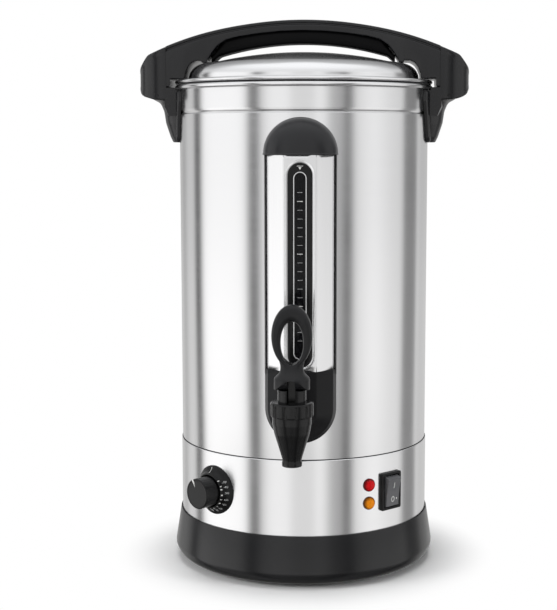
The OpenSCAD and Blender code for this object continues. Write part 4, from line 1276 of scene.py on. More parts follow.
@dataclass
class Gauge:
    """The level gauge: faceted steel channel, domed caps, black bezel, window and its marks."""

    azimuth: float = 1.6
    front: float = 127.5
    flat: float = 13.5
    half: float = 29.6
    cap_z: float = 370.3
    housing_z: float = 157.0
    housing_top: float = 190.7
    mark_top: float = 339.8
    mark_pitch: float = 7.23
    opening: tuple[float, float, float] = (6.5, 200.0, 358.0)
    cap_r: float = 31.2
    cap_front: float = 129.1

    def half_section(self, out: float, crease: float = 0.45) -> Array:
        """From the centre line: a flat, a fine crease, a 45 degree facet, and the side down to the body.

        Args:
            out: How far it stands out from the channel's section.
            crease: Depth of the crease.

        Returns:
            (n, 2) points of x and distance out.
        """
        far = self.half + out
        wall = float(out_to(GAUGE_SEAT_R, far))
        turn = self.flat + 0.41 * out
        return rounded([(0.0, self.front + out), (turn - 0.35, self.front + out, 0.15),
                        (turn, self.front + out - crease, 0.15), (turn + 0.6, self.front + out - 0.55, 0.2),
                        (26.9 + 0.85 * out, 114.1 + 0.6 * out, 2.6), (far, wall)], 0.3, closed=False)

    def channel(self) -> None:
        """The section carried up and down, open where the window sits."""
        open_half, low, high = self.opening
        half = self.half_section(0.0)
        half = np.concatenate([[[0.0, self.front], [open_half, self.front]], half[1:]])
        across = np.concatenate([half[::-1] * [-1.0, 1.0], half[1:]])
        level = np.unique(np.concatenate([np.linspace(188.7, 374.3, 25), [low, high]]))
        middle = (across[:-1, 0] + across[1:, 0]) / 2
        height = (level[:-1] + level[1:]) / 2
        keep = ~((np.abs(middle) < open_half)[None, :] & ((height > low) & (height < high))[:, None])
        Skin().grid(faced(carried_up(across, level), self.azimuth), keep=keep).build(
            "gauge_channel_sheet", URN, GAUGE_STEEL, sharp=20.0, stands_for=["gauge_channel"], wall=0.8,
            about=np.array([0.0, 0.0, 280.0]))

    def dome(self, half: Array, centre: float, start: float, end: float, straight: float = 0.0) -> Array:
        """Half a turn of the section about a line to -Y, with straight walls up to a height.

        Args:
            half: (n, 2) half section from its middle.
            centre: Height of the line.
            start: First angle in degrees.
            end: Last angle in degrees.
            straight: Top of the straight walls; 0 for none.

        Returns:
            (rows, n, 3) points, none of them behind the vessel's wall.
        """
        turn = np.radians(np.linspace(start, end, 73))
        rows = [np.stack([half[:, 0] * math.cos(a), -half[:, 1], centre + half[:, 0] * math.sin(a)], 1)
                for a in turn]
        if straight > centre:
            rises = np.linspace(straight, centre, 9)[:-1]
            left = [np.stack([-half[:, 0], -half[:, 1], np.full(len(half), z)], 1) for z in rises]
            right = [np.stack([half[:, 0], -half[:, 1], np.full(len(half), z)], 1) for z in rises[::-1]]
            rows = left + rows + right
        grid = np.stack(rows)
        grid[..., 1] = np.minimum(grid[..., 1], -out_to(GAUGE_SEAT_R, grid[..., 0]))
        return grid

    def caps(self) -> None:
        """The cap swells like a lens, the housing keeps the facets, and thin dark strips of painted shade
        edge the channel.

        At distance r from its line the cap stands 108.2 + 20.9 (1 - (r / cap_r)^3)^(1 / 2.1) out.
        """
        quarter = np.radians(np.linspace(0, 90, 14))
        radius = np.concatenate([np.linspace(0, 24, 13)[:-1], 24 + 7.2 * np.sin(quarter)])
        rise = (1.0 - (radius / self.cap_r) ** 3.0) ** (1 / 2.1)
        cap = np.stack([radius, 108.2 + 20.9 * rise], 1)
        centre, squash = self.cap_z + 1.2, 0.96
        dome = self.dome(cap, centre, 0.0, 180.0)
        dome[..., 2] = centre + (dome[..., 2] - self.cap_z - 1.2) * squash
        foot = np.concatenate([dome[0], dome[-1][::-1]])
        away = foot / [self.cap_r, self.cap_front, 1.0] * [0.35, 0.35, 0.0]
        lip = [foot + away * share + [0.0, 0.0, drop] for share, drop in (
            (0.0, 0.4), (0.8, 0.1), (1.0, -0.2), (1.0, -0.9), (0.7, -1.2))]
        lip.append(np.stack([foot[:, 0] * 0.9, -out_to(GAUGE_SEAT_R, foot[:, 0]), foot[:, 2] - 1.2], 1))
        Skin().grid(faced(dome, self.azimuth)).grid(faced(np.stack(lip, axis=1), self.azimuth)).build(
            "gauge_cap_dome", URN, CAP_PAINTED_LIT_BLACK, stands_for=["gauge_top_cap"])
        # Thin dark strips along both sides of the channel, called seal below: painted shade where the
        # channel's sides meet the wall.
        side = np.array([[29.3, 107.0], [29.6, 108.7], [30.3, 108.5], [30.5, 107.0]])
        seal = carried_up(side, np.array([186.0, 371.0]))
        Skin().tube(faced(seal, self.azimuth)).tube(faced(mirrored(seal), self.azimuth)).build(
            "gauge_edge_shade_strip", URN, EDGE_SHADE_GREY)
        housing = self.dome(self.half_section(0.6, 0.2), self.housing_z, 180.0, 360.0, self.housing_top)
        skin = Skin().grid(faced(housing, self.azimuth))
        boss = rounded([(8.3, 126.5), (8.3, 128.7, 0.2), (15.0, 128.7, 0.6), (15.0, 126.5)], 0.5,
                       closed=False)
        skin.grid(forward(lathe(boss, 72), 152.0), wrap_u=True)
        skin.build("gauge_housing_shell", URN, HOUSING_PAINTED_SHADE_BLACK, stands_for=["gauge_lower_housing"], wall=1.6,
                   about=np.array([0.0, 0.0, self.housing_z]))

    def face(self) -> None:
        """Bezel, pressed rim, silver trim and window, each a ring or plate with round ends."""
        low, high = 194.2, 364.2
        Skin().frame(capsule(10.15, low, high), capsule(5.45, 201.3, 356.7), 126.4, 128.3, 0.7,
                     self.azimuth).build("gauge_bezel_ring", URN, GAUGE_BLACK, stands_for=["gauge_bezel"])
        section = rounded([(0.0, 127.2), (0.0, 127.6, 0.1), (0.35, 128.25, 0.25), (2.3, 127.7, 0.1),
                           (2.3, 127.2)], 0.1, closed=False, steps=4)
        rim = capsule(12.5, 191.9, 366.5)
        flat = rim[:, None, :] - outline_normals(rim)[:, None, :] * section[None, :, :1]
        Skin().grid(faced(stood(flat, section[:, 1]), self.azimuth), wrap_u=True, wrap_v=True).build(
            "gauge_pressed_rim", URN, GAUGE_STEEL)
        Skin().frame(capsule(5.5, 201.2, 356.8), capsule(4.7, 202.0, 356.0), 126.4, 128.55, 0.3,
                     self.azimuth).build("gauge_trim", URN, TRIM_SILVER)
        Skin().plate(capsule(4.75, 201.9, 356.1), 125.9, 127.4, 0.2, self.azimuth).build(
            "gauge_window_pane", URN, SMOKED, stands_for=["gauge_window"])

    def marks(self) -> None:
        """Level lines down the window, brighter at every sixth, and a bar with a wedge at each end."""
        bright, plain = Skin(), Skin()
        for index in range(18):
            level = self.mark_top - index * self.mark_pitch
            half, tall, skin = (2.3, 0.28, bright) if index % 6 == 1 else (2.1, 0.17, plain)
            skin.plate(box_outline(half, level - tall, level + tall, 0.1), 127.3, 127.5, 0.04, self.azimuth)
        for bar, tip in ((361.4, -1.0), (197.0, 1.0)):
            bright.plate(box_outline(2.6, bar - 0.22, bar + 0.22, 0.1), 128.2, 128.4, 0.04, self.azimuth)
            wedge = [(1.4, bar + tip * 0.9), (0.0, bar + tip * 2.9), (-1.4, bar + tip * 0.9)]
            wedge = rounded(wedge if tip > 0 else wedge[::-1], 0.15)
            bright.plate(wedge, 128.2, 128.4, 0.04, self.azimuth)
        bright.build("gauge_marks_bright", URN, WHITE_INK)
        plain.build("gauge_marks_plain", URN, GREY_INK)

    def build(self) -> None:
        """Builds the gauge's pieces."""
        self.channel()
        self.caps()
        self.face()
        self.marks()


@dataclass
class Tap:
    """The lever tap: barrel on its shank, fluted bonnet with slotted collar, and the ring lever."""

    reach: float = 179.0
    shank_z: float = 152.0
    pin_z: float = 193.05
    base_r: float = 14.4
    eye: tuple[float, float, float] = (30.0, 9.0, 17.1)
    ring: tuple[float, float, float] = (35.5, 16.4, 25.1)
    cam_rest: float = 7.0
    lift_per_rad: float = 4.167
    pull: float = 55.0

    def at(self, points: Array, height: float = 0.0) -> Array:
        """Moves points from the tap's own upright axis to its place."""
        return points + np.array([0.0, -self.reach, height])

    def barrel(self) -> None:
        """Turned barrel with its bore, and the shank that carries it."""
        profile = rounded([
            (6.6, 123.5, 0.2), (8.0, 123.5, 0.4), (8.15, 126.4, 0.5), (7.5, 128.2, 1.5), (8.3, 131.0, 4.0),
            (11.2, 140.5, 12), (14.2, 150.0, 14), (15.75, 158.5, 6), (15.75, 164.1, 0.3), (14.8, 164.1, 0.1),
            (14.8, 170.0, 0.2), (12.0, 170.0, 0.3), (12.0, 155.0, 0.5), (7.5, 143.0, 0.4), (5.0, 143.0, 0.3),
            (5.0, 128.5, 0.5)], 0.4)
        shank = rounded([(6.0, 97.0), (8.0, 97.0), (8.0, 130.35, 0.1), (14.0, 130.35, 0.5),
                         (14.0, 133.9, 1.2), (10.5, 134.9, 1.0), (10.6, 150.0, 3.0), (11.2, 171.0),
                         (6.0, 171.0)], 0.3)
        Skin().grid(self.at(lathe(profile, 120)), wrap_u=True, wrap_v=True).grid(
            forward(lathe(shank, 96), self.shank_z), wrap_u=True, wrap_v=True).build(
            "tap_barrel", URN, TAP_BLACK, stands_for=["tap_body"])

    def bonnet(self) -> None:
        """The ring with twelve flutes, each as deep as a round rod laid along the side would press it.

        At angle a from a flute's middle its wall is d cos a - sqrt(r^2 - (d sin a)^2) out, with d the rod's
        distance and r its radius.
        """
        profile = rounded([(14.9, 164.25, 0.1), (16.9, 164.25, 0.5), (17.3, 165.2, 0.6), (17.3, 173.4, 0.2),
                           (17.3, 174.3, 0.2), (16.9, 175.6, 1.2), (15.4, 176.0, 0.8), (11.4, 176.05, 0.3),
                           (4.05, 176.05, 0.2), (4.05, 170.2, 0.2), (14.9, 170.2, 0.1)], 0.3, steps=4)
        pitch, rod_out, rod_r, no_cut = 30.0, 17.9, 1.3, 99.0
        angle = np.radians(np.arange(0, 360, 1.0))
        offset = np.radians(np.degrees(angle) % pitch - pitch / 2)
        aside = rod_out * np.sin(offset)
        cut = np.where(np.abs(aside) < rod_r, rod_out * np.cos(offset) - out_to(rod_r, aside), no_cut)
        fluted = (profile[:, 1] < 173.9) & (profile[:, 0] > 16.0)
        radius = np.where(fluted, np.minimum(profile[:, 0], cut[:, None]), profile[:, 0])
        ring = about_axis(angle, radius, profile[:, 1])
        slot, bore, wide = 3.4, 4.05, 11.5
        turn = math.degrees(math.asin(slot / wide))
        inner = math.degrees(math.asin(slot / bore))
        outline = np.concatenate([arc(0, 0, wide, -90 + turn, 270 - turn, 64),
                                  arc(0, 0, bore, 270 - inner, -90 + inner, 24)])
        collar = upward(pillow(outline, 175.9, 186.0, 0.7))
        skin = Skin().grid(self.at(ring), wrap_u=True, wrap_v=True)
        skin.grid(self.at(collar), wrap_u=True)
        top = self.at(collar)[:, -1]
        outer, inside = top[:65], top[65:][::-1]
        outer_share, inner_share = np.linspace(0, 1, len(outer)), np.linspace(0, 1, len(inside))
        match = np.stack([np.interp(outer_share, inner_share, inside[:, k]) for k in range(3)], 1)
        skin.grid(np.stack([outer, match], axis=1))
        skin.build("tap_bonnet_ring", URN, TAP_BLACK, sharp=32.0, stands_for=["tap_bonnet"])

    def cam(self, out: Array) -> Array:
        """Height of the cam's edge under the pin, from back to front; it lifts evenly with the pull.

        With r = rest + k a at a pull of a, the edge is r sin a + k cos a forward and r cos a - k sin a down.

        Args:
            out: Distances in front of the pin's line.

        Returns:
            Heights from the pin.
        """
        angle = np.radians(np.arange(5.0, self.pull + 1, 5.0))
        reach = self.cam_rest + self.lift_per_rad * angle
        along = reach * np.sin(angle) + self.lift_per_rad * np.cos(angle)
        height = -reach * np.cos(angle) + self.lift_per_rad * np.sin(angle)
        return np.interp(out, np.concatenate([[-self.base_r, -9.0, self.lift_per_rad], along, [self.base_r]]),
                         np.concatenate([[-1.0, -self.cam_rest, -self.cam_rest], height, [1.5]]))

    def lever_ring(self) -> Array:
        """A tube round the eye: its section, an oval of power 2.5, spans the inner and the outer oval.

        Returns:
            (120, 32, 3) points from the pin.
        """
        turn = whole_turn(120)
        inner = np.stack([self.eye[1] * np.cos(turn), self.eye[0] + self.eye[2] * np.sin(turn)], 1)
        outer = np.stack([self.ring[1] * np.cos(turn), self.ring[0] + self.ring[2] * np.sin(turn)], 1)
        middle, reach = (inner + outer) / 2, (outer - inner) / 2
        deep = np.interp(outer[:, 1], [10, 30, 52, 62], [6.3, 5.3, 6.6, 5.6])
        around = whole_turn(32)
        across, out = squarish(np.cos(around), 2.5), squarish(np.sin(around), 2.5)
        place = middle[:, None, :] + reach[:, None, :] * across[None, :, None]
        return np.stack([place[..., 0], -deep[:, None] * out[None, :], place[..., 1]], axis=2)

    def lever_base(self) -> tuple[Array, Array]:
        """The neck's rings down to the round foot, and the underside with its cam and tongue slot.

        Returns:
            Rings of the neck and foot, and the underside, both from the pin.
        """
        slot = math.degrees(math.asin(3.0 / self.base_r))
        edges = [slot, slot + 0.02, -slot, -slot - 0.02]
        front = np.unique(np.concatenate([np.linspace(-90, 90, 41), edges]))
        around = np.radians(np.concatenate([front, 180.0 - front[::-1][1:-1]]))
        levels = [(0.6, 14.4, 14.4, 2.0), (1.8, 14.1, 14.1, 2.0), (2.9, 13.3, 13.4, 2.0),
                  (4.0, 12.1, 12.4, 2.0), (5.3, 10.8, 11.1, 2.1), (6.8, 9.8, 9.7, 2.2), (8.6, 9.35, 8.4, 2.3),
                  (10.6, 9.2, 7.4, 2.4), (12.6, 9.4, 6.8, 2.5), (14.6, 9.9, 6.5, 2.5), (16.2, 10.3, 6.3, 2.5)]
        s, c = np.sin(around), np.cos(around)
        foot = self.cam(self.base_r * c)
        rings = [np.stack([self.base_r * s, -self.base_r * c, foot], 1),
                 np.stack([self.base_r * s, -self.base_r * c, np.maximum(foot, -0.4) * 0.5 + foot * 0.5], 1)]
        for height, wide, deep, power in levels:
            rings.append(np.stack([wide * squarish(s, power), -deep * squarish(c, power),
                                   np.maximum(height, foot + 0.25)], 1))
        for share in (0.8, 0.6, 0.4, 0.2, 0.0):
            rings.append(rings[12] * [share, share, 1.0])
        top = np.stack(rings, axis=1)
        x = np.clip(np.abs(top[..., 0]) / self.eye[1], 0.0, 0.9999)
        under_eye = self.eye[0] - self.eye[2] * np.sqrt(1 - x**2)
        top[..., 2] = np.minimum(top[..., 2], under_eye + 0.05)
        x = self.base_r * np.sin(np.radians(front))
        far = self.base_r * np.cos(np.radians(front))
        foot_out, head_r, slot_half = 14.08, 5.9, 3.001
        share = np.concatenate([np.linspace(-1, -6.6 / foot_out, 14), [-head_r / foot_out],
                                np.linspace(-5.6 / foot_out, 1, 26)])
        out = far[:, None] * share[None, :]
        below = self.cam(out)
        front_roof = np.interp(out, [12.4, 13.9], [2.5, 1.2])
        roof = np.where(out > 5.35, front_roof, out_to(head_r, out))
        inside = (np.abs(x) < slot_half)[:, None] & (out > -head_r)
        height = np.where(inside, np.maximum(roof, below), below)
        height[:, -1], height[:, 0] = self.cam(far), self.cam(-far)
        under = np.stack([np.broadcast_to(x[:, None], out.shape), -out, height], axis=2)
        return top, under

    def lever(self) -> None:
        """Joins the ring, the neck and the foot."""
        top, under = self.lever_base()
        skin = Skin().grid(self.at(self.lever_ring(), self.pin_z), wrap_u=True, wrap_v=True)
        skin.grid(self.at(top, self.pin_z), wrap_u=True).grid(self.at(under, self.pin_z))
        skin.build("tap_lever_ring", LEVER, LEVER_BLACK, sharp=40.0, stands_for=["tap_lever"])

    def build(self) -> None:
        """Builds the tap's pieces."""
        self.barrel()
        self.bonnet()
        self.lever()


@dataclass
class Dial:
    """The thermostat's curved plate with its scale, and the grooved knob."""

    azimuth: float = -40.6
    level: float = CONTROL_Z
    plate_r: float = 21.5
    knob_r: float = 13.2
    plate_out: float = 113.85
    knob_back: float = 114.4
    knob_front: float = 134.3
    groove: float = 0.10
    bore: float = 14.35
    tick_turn: float = -5.0
    pointer_turn: float = -24.0
    collar: tuple[tuple[float, float], ...] = (
        (21.05, 0.02), (20.3, 0.55), (17.6, 1.9), (16.25, 3.9), (15.6, 5.6), (15.0, 6.25), (14.35, 6.4))
    dots: tuple[tuple[float, float], ...] = (
        (47.0, 0.5), (66.0, 0.28), (76.0, 0.62), (94.0, 0.66), (109.0, 0.3), (124.0, 0.55), (141.0, 0.3),
        (158.0, 0.45), (174.0, 0.3))
    numbers: tuple[float, ...] = (57.0, 72.0, 89.0, 109.0, 126.0, 146.0, 163.0, 181.0)
    number_r: float = 17.9
    number_size: float = 2.5

    def on_band(self, flat: Array, depth: Union[float, Array]) -> Array:
        """Lays (x, z) points on a cylinder about the urn's axis, x = 0 and z = 0 being the dial's centre."""
        x, z = flat[..., 0], flat[..., 1]
        return faced(np.stack([x, -out_to(depth, x), z + self.level], axis=-1), self.azimuth)

    def collar_height(self, away: Array) -> Array:
        """The collar's height over the plate at these distances from the dial's centre."""
        return np.interp(away, *np.array(self.collar)[::-1].T)

    def on_cone(self, flat: Array, lift: Union[float, Array]) -> Array:
        """Lays (x, z) points on the collar, whose height follows from the distance to the centre.

        The plate's cylinder flattens into a plane between the radii 21 and 15, where the collar is highest.

        Args:
            flat: (..., 2) points about the dial's centre.
            lift: Height above the collar's surface.

        Returns:
            (..., 3) points.
        """
        x, z = flat[..., 0], flat[..., 1]
        away = np.hypot(x, z)
        height = self.collar_height(away) + lift
        level = smooth_step(15.0, 21.0, away)
        plate = self.plate_out - (self.plate_out - out_to(self.plate_out, x)) * level
        return faced(np.stack([x, -plate - height, z + self.level], axis=-1), self.azimuth)

    def plate(self) -> None:
        """A disc that follows the band, with a rounded edge, and the hollow cone that carries the scale."""
        rim, back, front = self.plate_r, 112.87, self.plate_out
        line = np.concatenate([
            [[7.0, back], [rim - 0.3, back]], arc(rim - 0.48, front - 0.5, 0.5, -60, 90, 8),
            [[rim - 1.5, front], [18, front], [14, front], [10, front], [7.0, front]]])
        turn = whole_turn(144)
        spoke = np.stack([np.sin(turn), np.cos(turn)], axis=1)
        flat = spoke[:, None, :] * line[None, :, :1]
        Skin().grid(self.on_band(flat, np.broadcast_to(line[:, 1], flat.shape[:2])), wrap_u=True,
                    wrap_v=True).build("dial_plate_disc", URN, DIAL_BLACK, stands_for=["dial_plate"])
        radius = rounded([(*point, 0.35) for point in self.collar], 0.35, closed=False, steps=4)
        outside = self.on_cone(spoke[:, None, :] * radius[None, :, :1],
                               radius[None, :, 1] - self.collar_height(radius[:, 0])[None, :])
        bore = self.on_cone(spoke[:, None, :] * np.full((1, 3, 1), self.bore),
                            np.array([[-0.3, -3.2, -6.9]]))
        Skin().grid(np.concatenate([outside, bore], axis=1), wrap_u=True, wrap_v=True).build(
            "dial_collar", URN, DIAL_BLACK)

    def scale(self) -> None:
        """Tick near twelve o'clock, a row of square dots on the steep part and the numbers outside it."""
        skin = Skin()

        def stroke(turn: float, inner: float, outer: float, half: float) -> None:
            """One mark along a radius: an outline in nine rows that follows the collar's surface.

            Args:
                turn: Degrees clockwise from twelve o'clock.
                inner: Radius of its inner end.
                outer: Radius of its outer end.
                half: Half its width.
            """
            rows = np.linspace(inner, outer, 9)
            flat = np.stack([np.stack([np.full(9, half * side), rows], 1) for side in (-1.0, 0.0, 1.0)])
            c, s = math.cos(math.radians(turn)), math.sin(math.radians(turn))
            flat = np.stack([flat[..., 0] * c + flat[..., 1] * s, flat[..., 1] * c - flat[..., 0] * s], -1)
            skin.grid(self.on_cone(flat, 0.07))

        stroke(self.tick_turn, 15.5, 20.3, 0.22)
        for turn, half in self.dots:
            stroke(turn, 15.25, 15.98, half)
        skin.build("dial_ticks", URN, WHITE_INK, wall=0.05, about=ahead(100.0, self.level, self.azimuth))
        for index, turn in enumerate(self.numbers):
            self.number(str(30 + 10 * index), turn)

    def number(self, text: str, turn: float) -> None:
        """One plain number, made a mesh and laid on the collar, read along the circle.

        Args:
            text: The number.
            turn: Degrees clockwise from twelve o'clock.
        """
        curve = bpy.data.curves.new("dial_number", "FONT")
        curve.body, curve.size, curve.align_x, curve.align_y = text, self.number_size, "CENTER", "CENTER"
        curve.offset = 0.015
        source = placed("dial_number_source", curve)
        mesh = bpy.data.meshes.new_from_object(source.evaluated_get(bpy.context.evaluated_depsgraph_get()))
        bpy.data.objects.remove(source)
        bpy.data.curves.remove(curve)
        points = np.zeros(len(mesh.vertices) * 3)
        mesh.vertices.foreach_get("co", points)
        flat = points.reshape(-1, 3)[:, :2]
        rad = math.radians(turn)
        flat = flat + np.array([math.sin(rad), math.cos(rad)]) * self.number_r
        mesh.vertices.foreach_set("co", (self.on_cone(flat, 0.06) * MM).ravel())
        mesh.update()
        mesh.name = f"dial_number_{text}"
        piece = placed(mesh.name, mesh)
        GREY_INK.dress(piece)
        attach(piece, URN)
        report(piece, URN)

    def knob(self) -> None:
        """Turned, with sixteen shallow grooves in its side and a white pointer."""
        back, front, wide = self.knob_back, self.knob_front, self.knob_r
        foot = rounded([(2.9, back), (wide + 0.55, back, 0.4), (wide + 0.5, back + 0.9, 0.4),
                        (wide, back + 3.0, 0.8), (wide, back + 3.4)], 0.4, closed=False, steps=5)
        side = np.stack([np.full(9, wide), np.linspace(back + 3.6, front - 1.9, 9)], 1)
        face = rounded([(wide, front - 1.7), (wide - 0.05, front - 0.35, 0.9),
                        (wide - 1.1, front - 0.02, 0.5), (wide - 1.7, front - 0.32, 0.4),
                        (7.0, front - 0.28), (0.0, front - 0.25)], 0.4, closed=False, steps=5)
        line = np.concatenate([foot, side, face])
        turn = np.arange(0, 360, 1.0)
        pitch, half = 20.0, 3.0
        away = np.abs(turn % pitch - pitch / 2)
        groove = (away < half) & (turn > pitch) & (turn < 360.0 - pitch)
        deep = np.where(groove, self.groove * np.cos(np.radians(away / half * 90.0)), 0.0)
        fluted = (line[:, 1] > back + 3.5) & (line[:, 1] < front - 1.8)
        radius = line[None, :, 0] - deep[:, None] * fluted[None, :]
        rad = np.radians(turn)[:, None]
        points = np.stack([np.sin(rad) * radius, np.broadcast_to(-line[:, 1], radius.shape),
                           np.cos(rad) * radius], axis=2)
        Skin().grid(self.turned(points), wrap_u=True).build(
            "dial_knob_turned", KNOB, KNOB_BLACK, sharp=30.0, stands_for=["dial_knob"])
        path = np.array([[6.4, front - 0.20, 0.10], [wide - 2.4, front - 0.22, 0.85],
                         [wide - 1.6, front, 0.95],
                         [wide - 0.9, front + 0.05, 1.0], [wide - 0.2, front - 0.25, 1.0],
                         [wide + 0.06, front - 1.2, 0.8], [wide + 0.08, front - 3.0, 0.42],
                         [wide + 0.08, front - 9.0, 0.34], [wide + 0.08, back + 3.6, 0.34]])
        pointer = np.stack([np.stack([path[:, 2] * side, -path[:, 1], path[:, 0]], 1)
                            for side in (-1.0, 1.0)], axis=0)
        Skin().grid(self.turned(pointer)).build(
            "dial_pointer", KNOB, WHITE_INK, wall=0.1, about=ahead(120.0, self.level, self.azimuth))

    def turned(self, points: Array) -> Array:
        """Turns knob points, built with the pointer up, to its rest place and puts them on the band.

        Args:
            points: (..., 3) points.

        Returns:
            The placed points.
        """
        c, s = math.cos(math.radians(self.pointer_turn)), math.sin(math.radians(self.pointer_turn))
        x, z = points[..., 0], points[..., 2]
        upright = np.stack([x * c + z * s, points[..., 1], z * c - x * s + self.level], axis=-1)
        return faced(upright, self.azimuth)

    def build(self) -> None:
        """Builds the dial's pieces."""
        self.plate()
        self.scale()
        self.knob()


@dataclass
class Controls:
    """The two lamps and the rocker switch on the right of the band."""

    lamp_azimuth: float = 33.0
    switch_azimuth: float = 44.8
    rocker_axis: float = 112.25
    swing: float = 16.0

    def lamp(self, name: str, level: float, finish: Finish, node: str) -> None:
        """A domed lens with a rim, turned about a line to the front.

        Args:
            name: The piece's name.
            level: Height of its middle.
            finish: Its finish.
            node: The node that it stands for.
        """
        quarter = np.linspace(math.pi / 2, 0, 13)
        dome = np.stack([5.0 * np.sin(quarter), 113.9 + 2.8 * np.cos(quarter)], 1)
        rim = [[0.0, 112.9], [5.4, 112.9], [5.7, 113.0], [5.7, 113.6], [5.5, 113.85], [5.15, 113.9]]
        line = np.concatenate([rim, dome])
        Skin().grid(faced(forward(lathe(line, 64), level), self.lamp_azimuth), wrap_u=True).build(
            name, URN, finish, stands_for=[node])

    def lamps(self) -> None:
        """Red over amber."""
        for name, level, colour, painted_light_colour, node in (
                ("lens_red", 86.85, (0.40, 0.003, 0.008), (0.68, 0.004, 0.007), "lamp_red"),
                ("lens_amber", 70.85, (0.46, 0.14, 0.003), (0.92, 0.28, 0.002), "lamp_amber")):
            # Each lens gets its tint and the colour of its painted light, centred on the lens's middle.
            centre = tuple(float(v) for v in ahead(114.5, level, self.lamp_azimuth))
            self.lamp(name, level, Lens(f"cut_{name}", name, colour, painted_light_colour=painted_light_colour, centre=centre), node)

    def bezel(self) -> None:
        """A frame round the rocker with deep inner walls."""
        outer = box_outline(11.8, CONTROL_Z - 16.5, CONTROL_Z + 16.5, 1.6)
        inner = box_outline(8.45, CONTROL_Z - 13.9, CONTROL_Z + 13.9, 0.8)
        skin = Skin()
        out = faced(pillow(outer, 108.5, 115.3, 0.8), self.switch_azimuth)
        into = faced(pillow(inner, 105.5, 115.3, 1.1, side=-1.0), self.switch_azimuth)
        skin.grid(np.concatenate([out, into[:, ::-1]], axis=1), wrap_u=True)
        skin.fan(into[:, 0])
        skin.build("switch_bezel", URN, PART_BLACK, stands_for=["switch_housing"])

    def tipped(self, points: Array) -> Array:
        """Turns rocker points by half the swing about the rocker's axis and puts them in place.

        Args:
            points: (..., 3) points.

        Returns:
            The placed points.
        """
        half = math.radians(self.swing / 2)
        y, z = points[..., 1], points[..., 2]
        turned = np.stack([points[..., 0], y * math.cos(half) - z * math.sin(half) - self.rocker_axis,
                           y * math.sin(half) + z * math.cos(half) + CONTROL_Z], axis=-1)
        return faced(turned, self.switch_azimuth)

    def rocker(self) -> None:
        """The rocker's side view carried across, with eased ends, and its marks."""
        radius = 13.556
        top, foot = math.degrees(math.atan2(12.6, 5.0)), 90 + math.degrees(math.asin(3.5 / radius))
        face = np.array([[-5.8, -12.3], [-5.2, -6.3], [-4.9, -0.4], [-4.9, 0.4], [-5.2, 6.3], [-5.8, 12.3]])
        side = np.concatenate([arc(0, 0, radius, 180 + foot, 180 + top, 6), face,
                               arc(0, 0, radius, 180 - top, 180 - foot, 6)])
        normal = outline_normals(side[::-1])[::-1]
        rows = []
        for x, inset in ((-7.6, 0.5), (-7.5, 0.2), (-7.2, 0.0), (7.2, 0.0), (7.5, 0.2), (7.6, 0.5)):
            flat = side - normal * inset
            rows.append(np.stack([np.full(len(flat), x), flat[:, 0], flat[:, 1]], 1))
        Skin().tube(self.tipped(np.stack(rows))).build(
            "switch_rocker_cap", ROCKER, ROCKER_BLACK, sharp=25.0, stands_for=["switch_rocker"])
        turn = np.linspace(0, 2 * math.pi, 41)[:-1]
        ring = np.stack([np.cos(turn), np.sin(turn)], 1)
        skin = Skin()
        for outer, inner, across, centre in (
                (capsule(0.40, 3.7, 8.9, 10), capsule(0.1, 4.0, 8.6, 10), 0.0, 0.0),
                (ring * [1.9, 2.55], ring * [1.3, 1.95], 0.0, -6.4),
                (ring * [0.55, 0.8], ring * [0.05, 0.1], 4.4, -6.2)):
            flat = np.stack([outer, inner], 1) + [across, centre]
            y = -4.93 - 0.9 * np.abs(flat[..., 1]) / 12.3
            skin.grid(self.tipped(np.stack([flat[..., 0], y, flat[..., 1]], -1)), wrap_u=True)
        skin.build("switch_marks", ROCKER, WHITE_INK, wall=0.08,
                   about=ahead(100.0, CONTROL_Z, self.switch_azimuth))

    def build(self) -> None:
        """Builds the lamps and the switch."""
        self.lamps()
        self.bezel()
        self.rocker()


# ---- Kept construction pieces ----
KEPT: dict[str, Finish] = {
    "bottom_plate": INNER_STEEL, "bottom_plate_screws": TRIM_SILVER, "rubber_feet": RUBBER,
    "heat_plate": HEAT_ALLOY, "heating_element": SHEATH, "boil_dry_cutout": PHENOLIC,
    "thermostat_body": PHENOLIC, "thermostat_bulb": COPPER, "thermostat_shaft": TRIM_SILVER,
    "lamp_holders": NYLON, "power_inlet": PART_BLACK, "inlet_pins": BRASS, "inlet_screws": TRIM_SILVER,
    "sight_tube": TUBE_GLASS, "tube_seals": RUBBER, "tube_elbow": NYLON, "tube_top_plug": NYLON,
    "elbow_nut": TRIM_SILVER, "tap_stem": TAP_BLACK, "seat_cup": SILICONE, "lever_pin": TRIM_SILVER,
    "tap_washers": RUBBER, "tap_lock_nut": TRIM_SILVER, "side_handle_screws": TRIM_SILVER,
    "side_handle_seals": RUBBER, "lid_handle_screws": TRIM_SILVER}


def dress_kept() -> None:
    """Gives the kept pieces of the frame their finishes."""
    for name, finish in KEPT.items():
        finish.dress(frame["nodes"][name])
        LOG.info("%-28s kept, in %s", name, finish.name)


# ---- Studio ----
@dataclass(frozen=True)
class Panel:
    """A soft box or a dark flag round the urn: where it stands, how wide, how soft and how bright."""

    azimuth: float
    half: float
    strength: float
    soft: float = 3.0


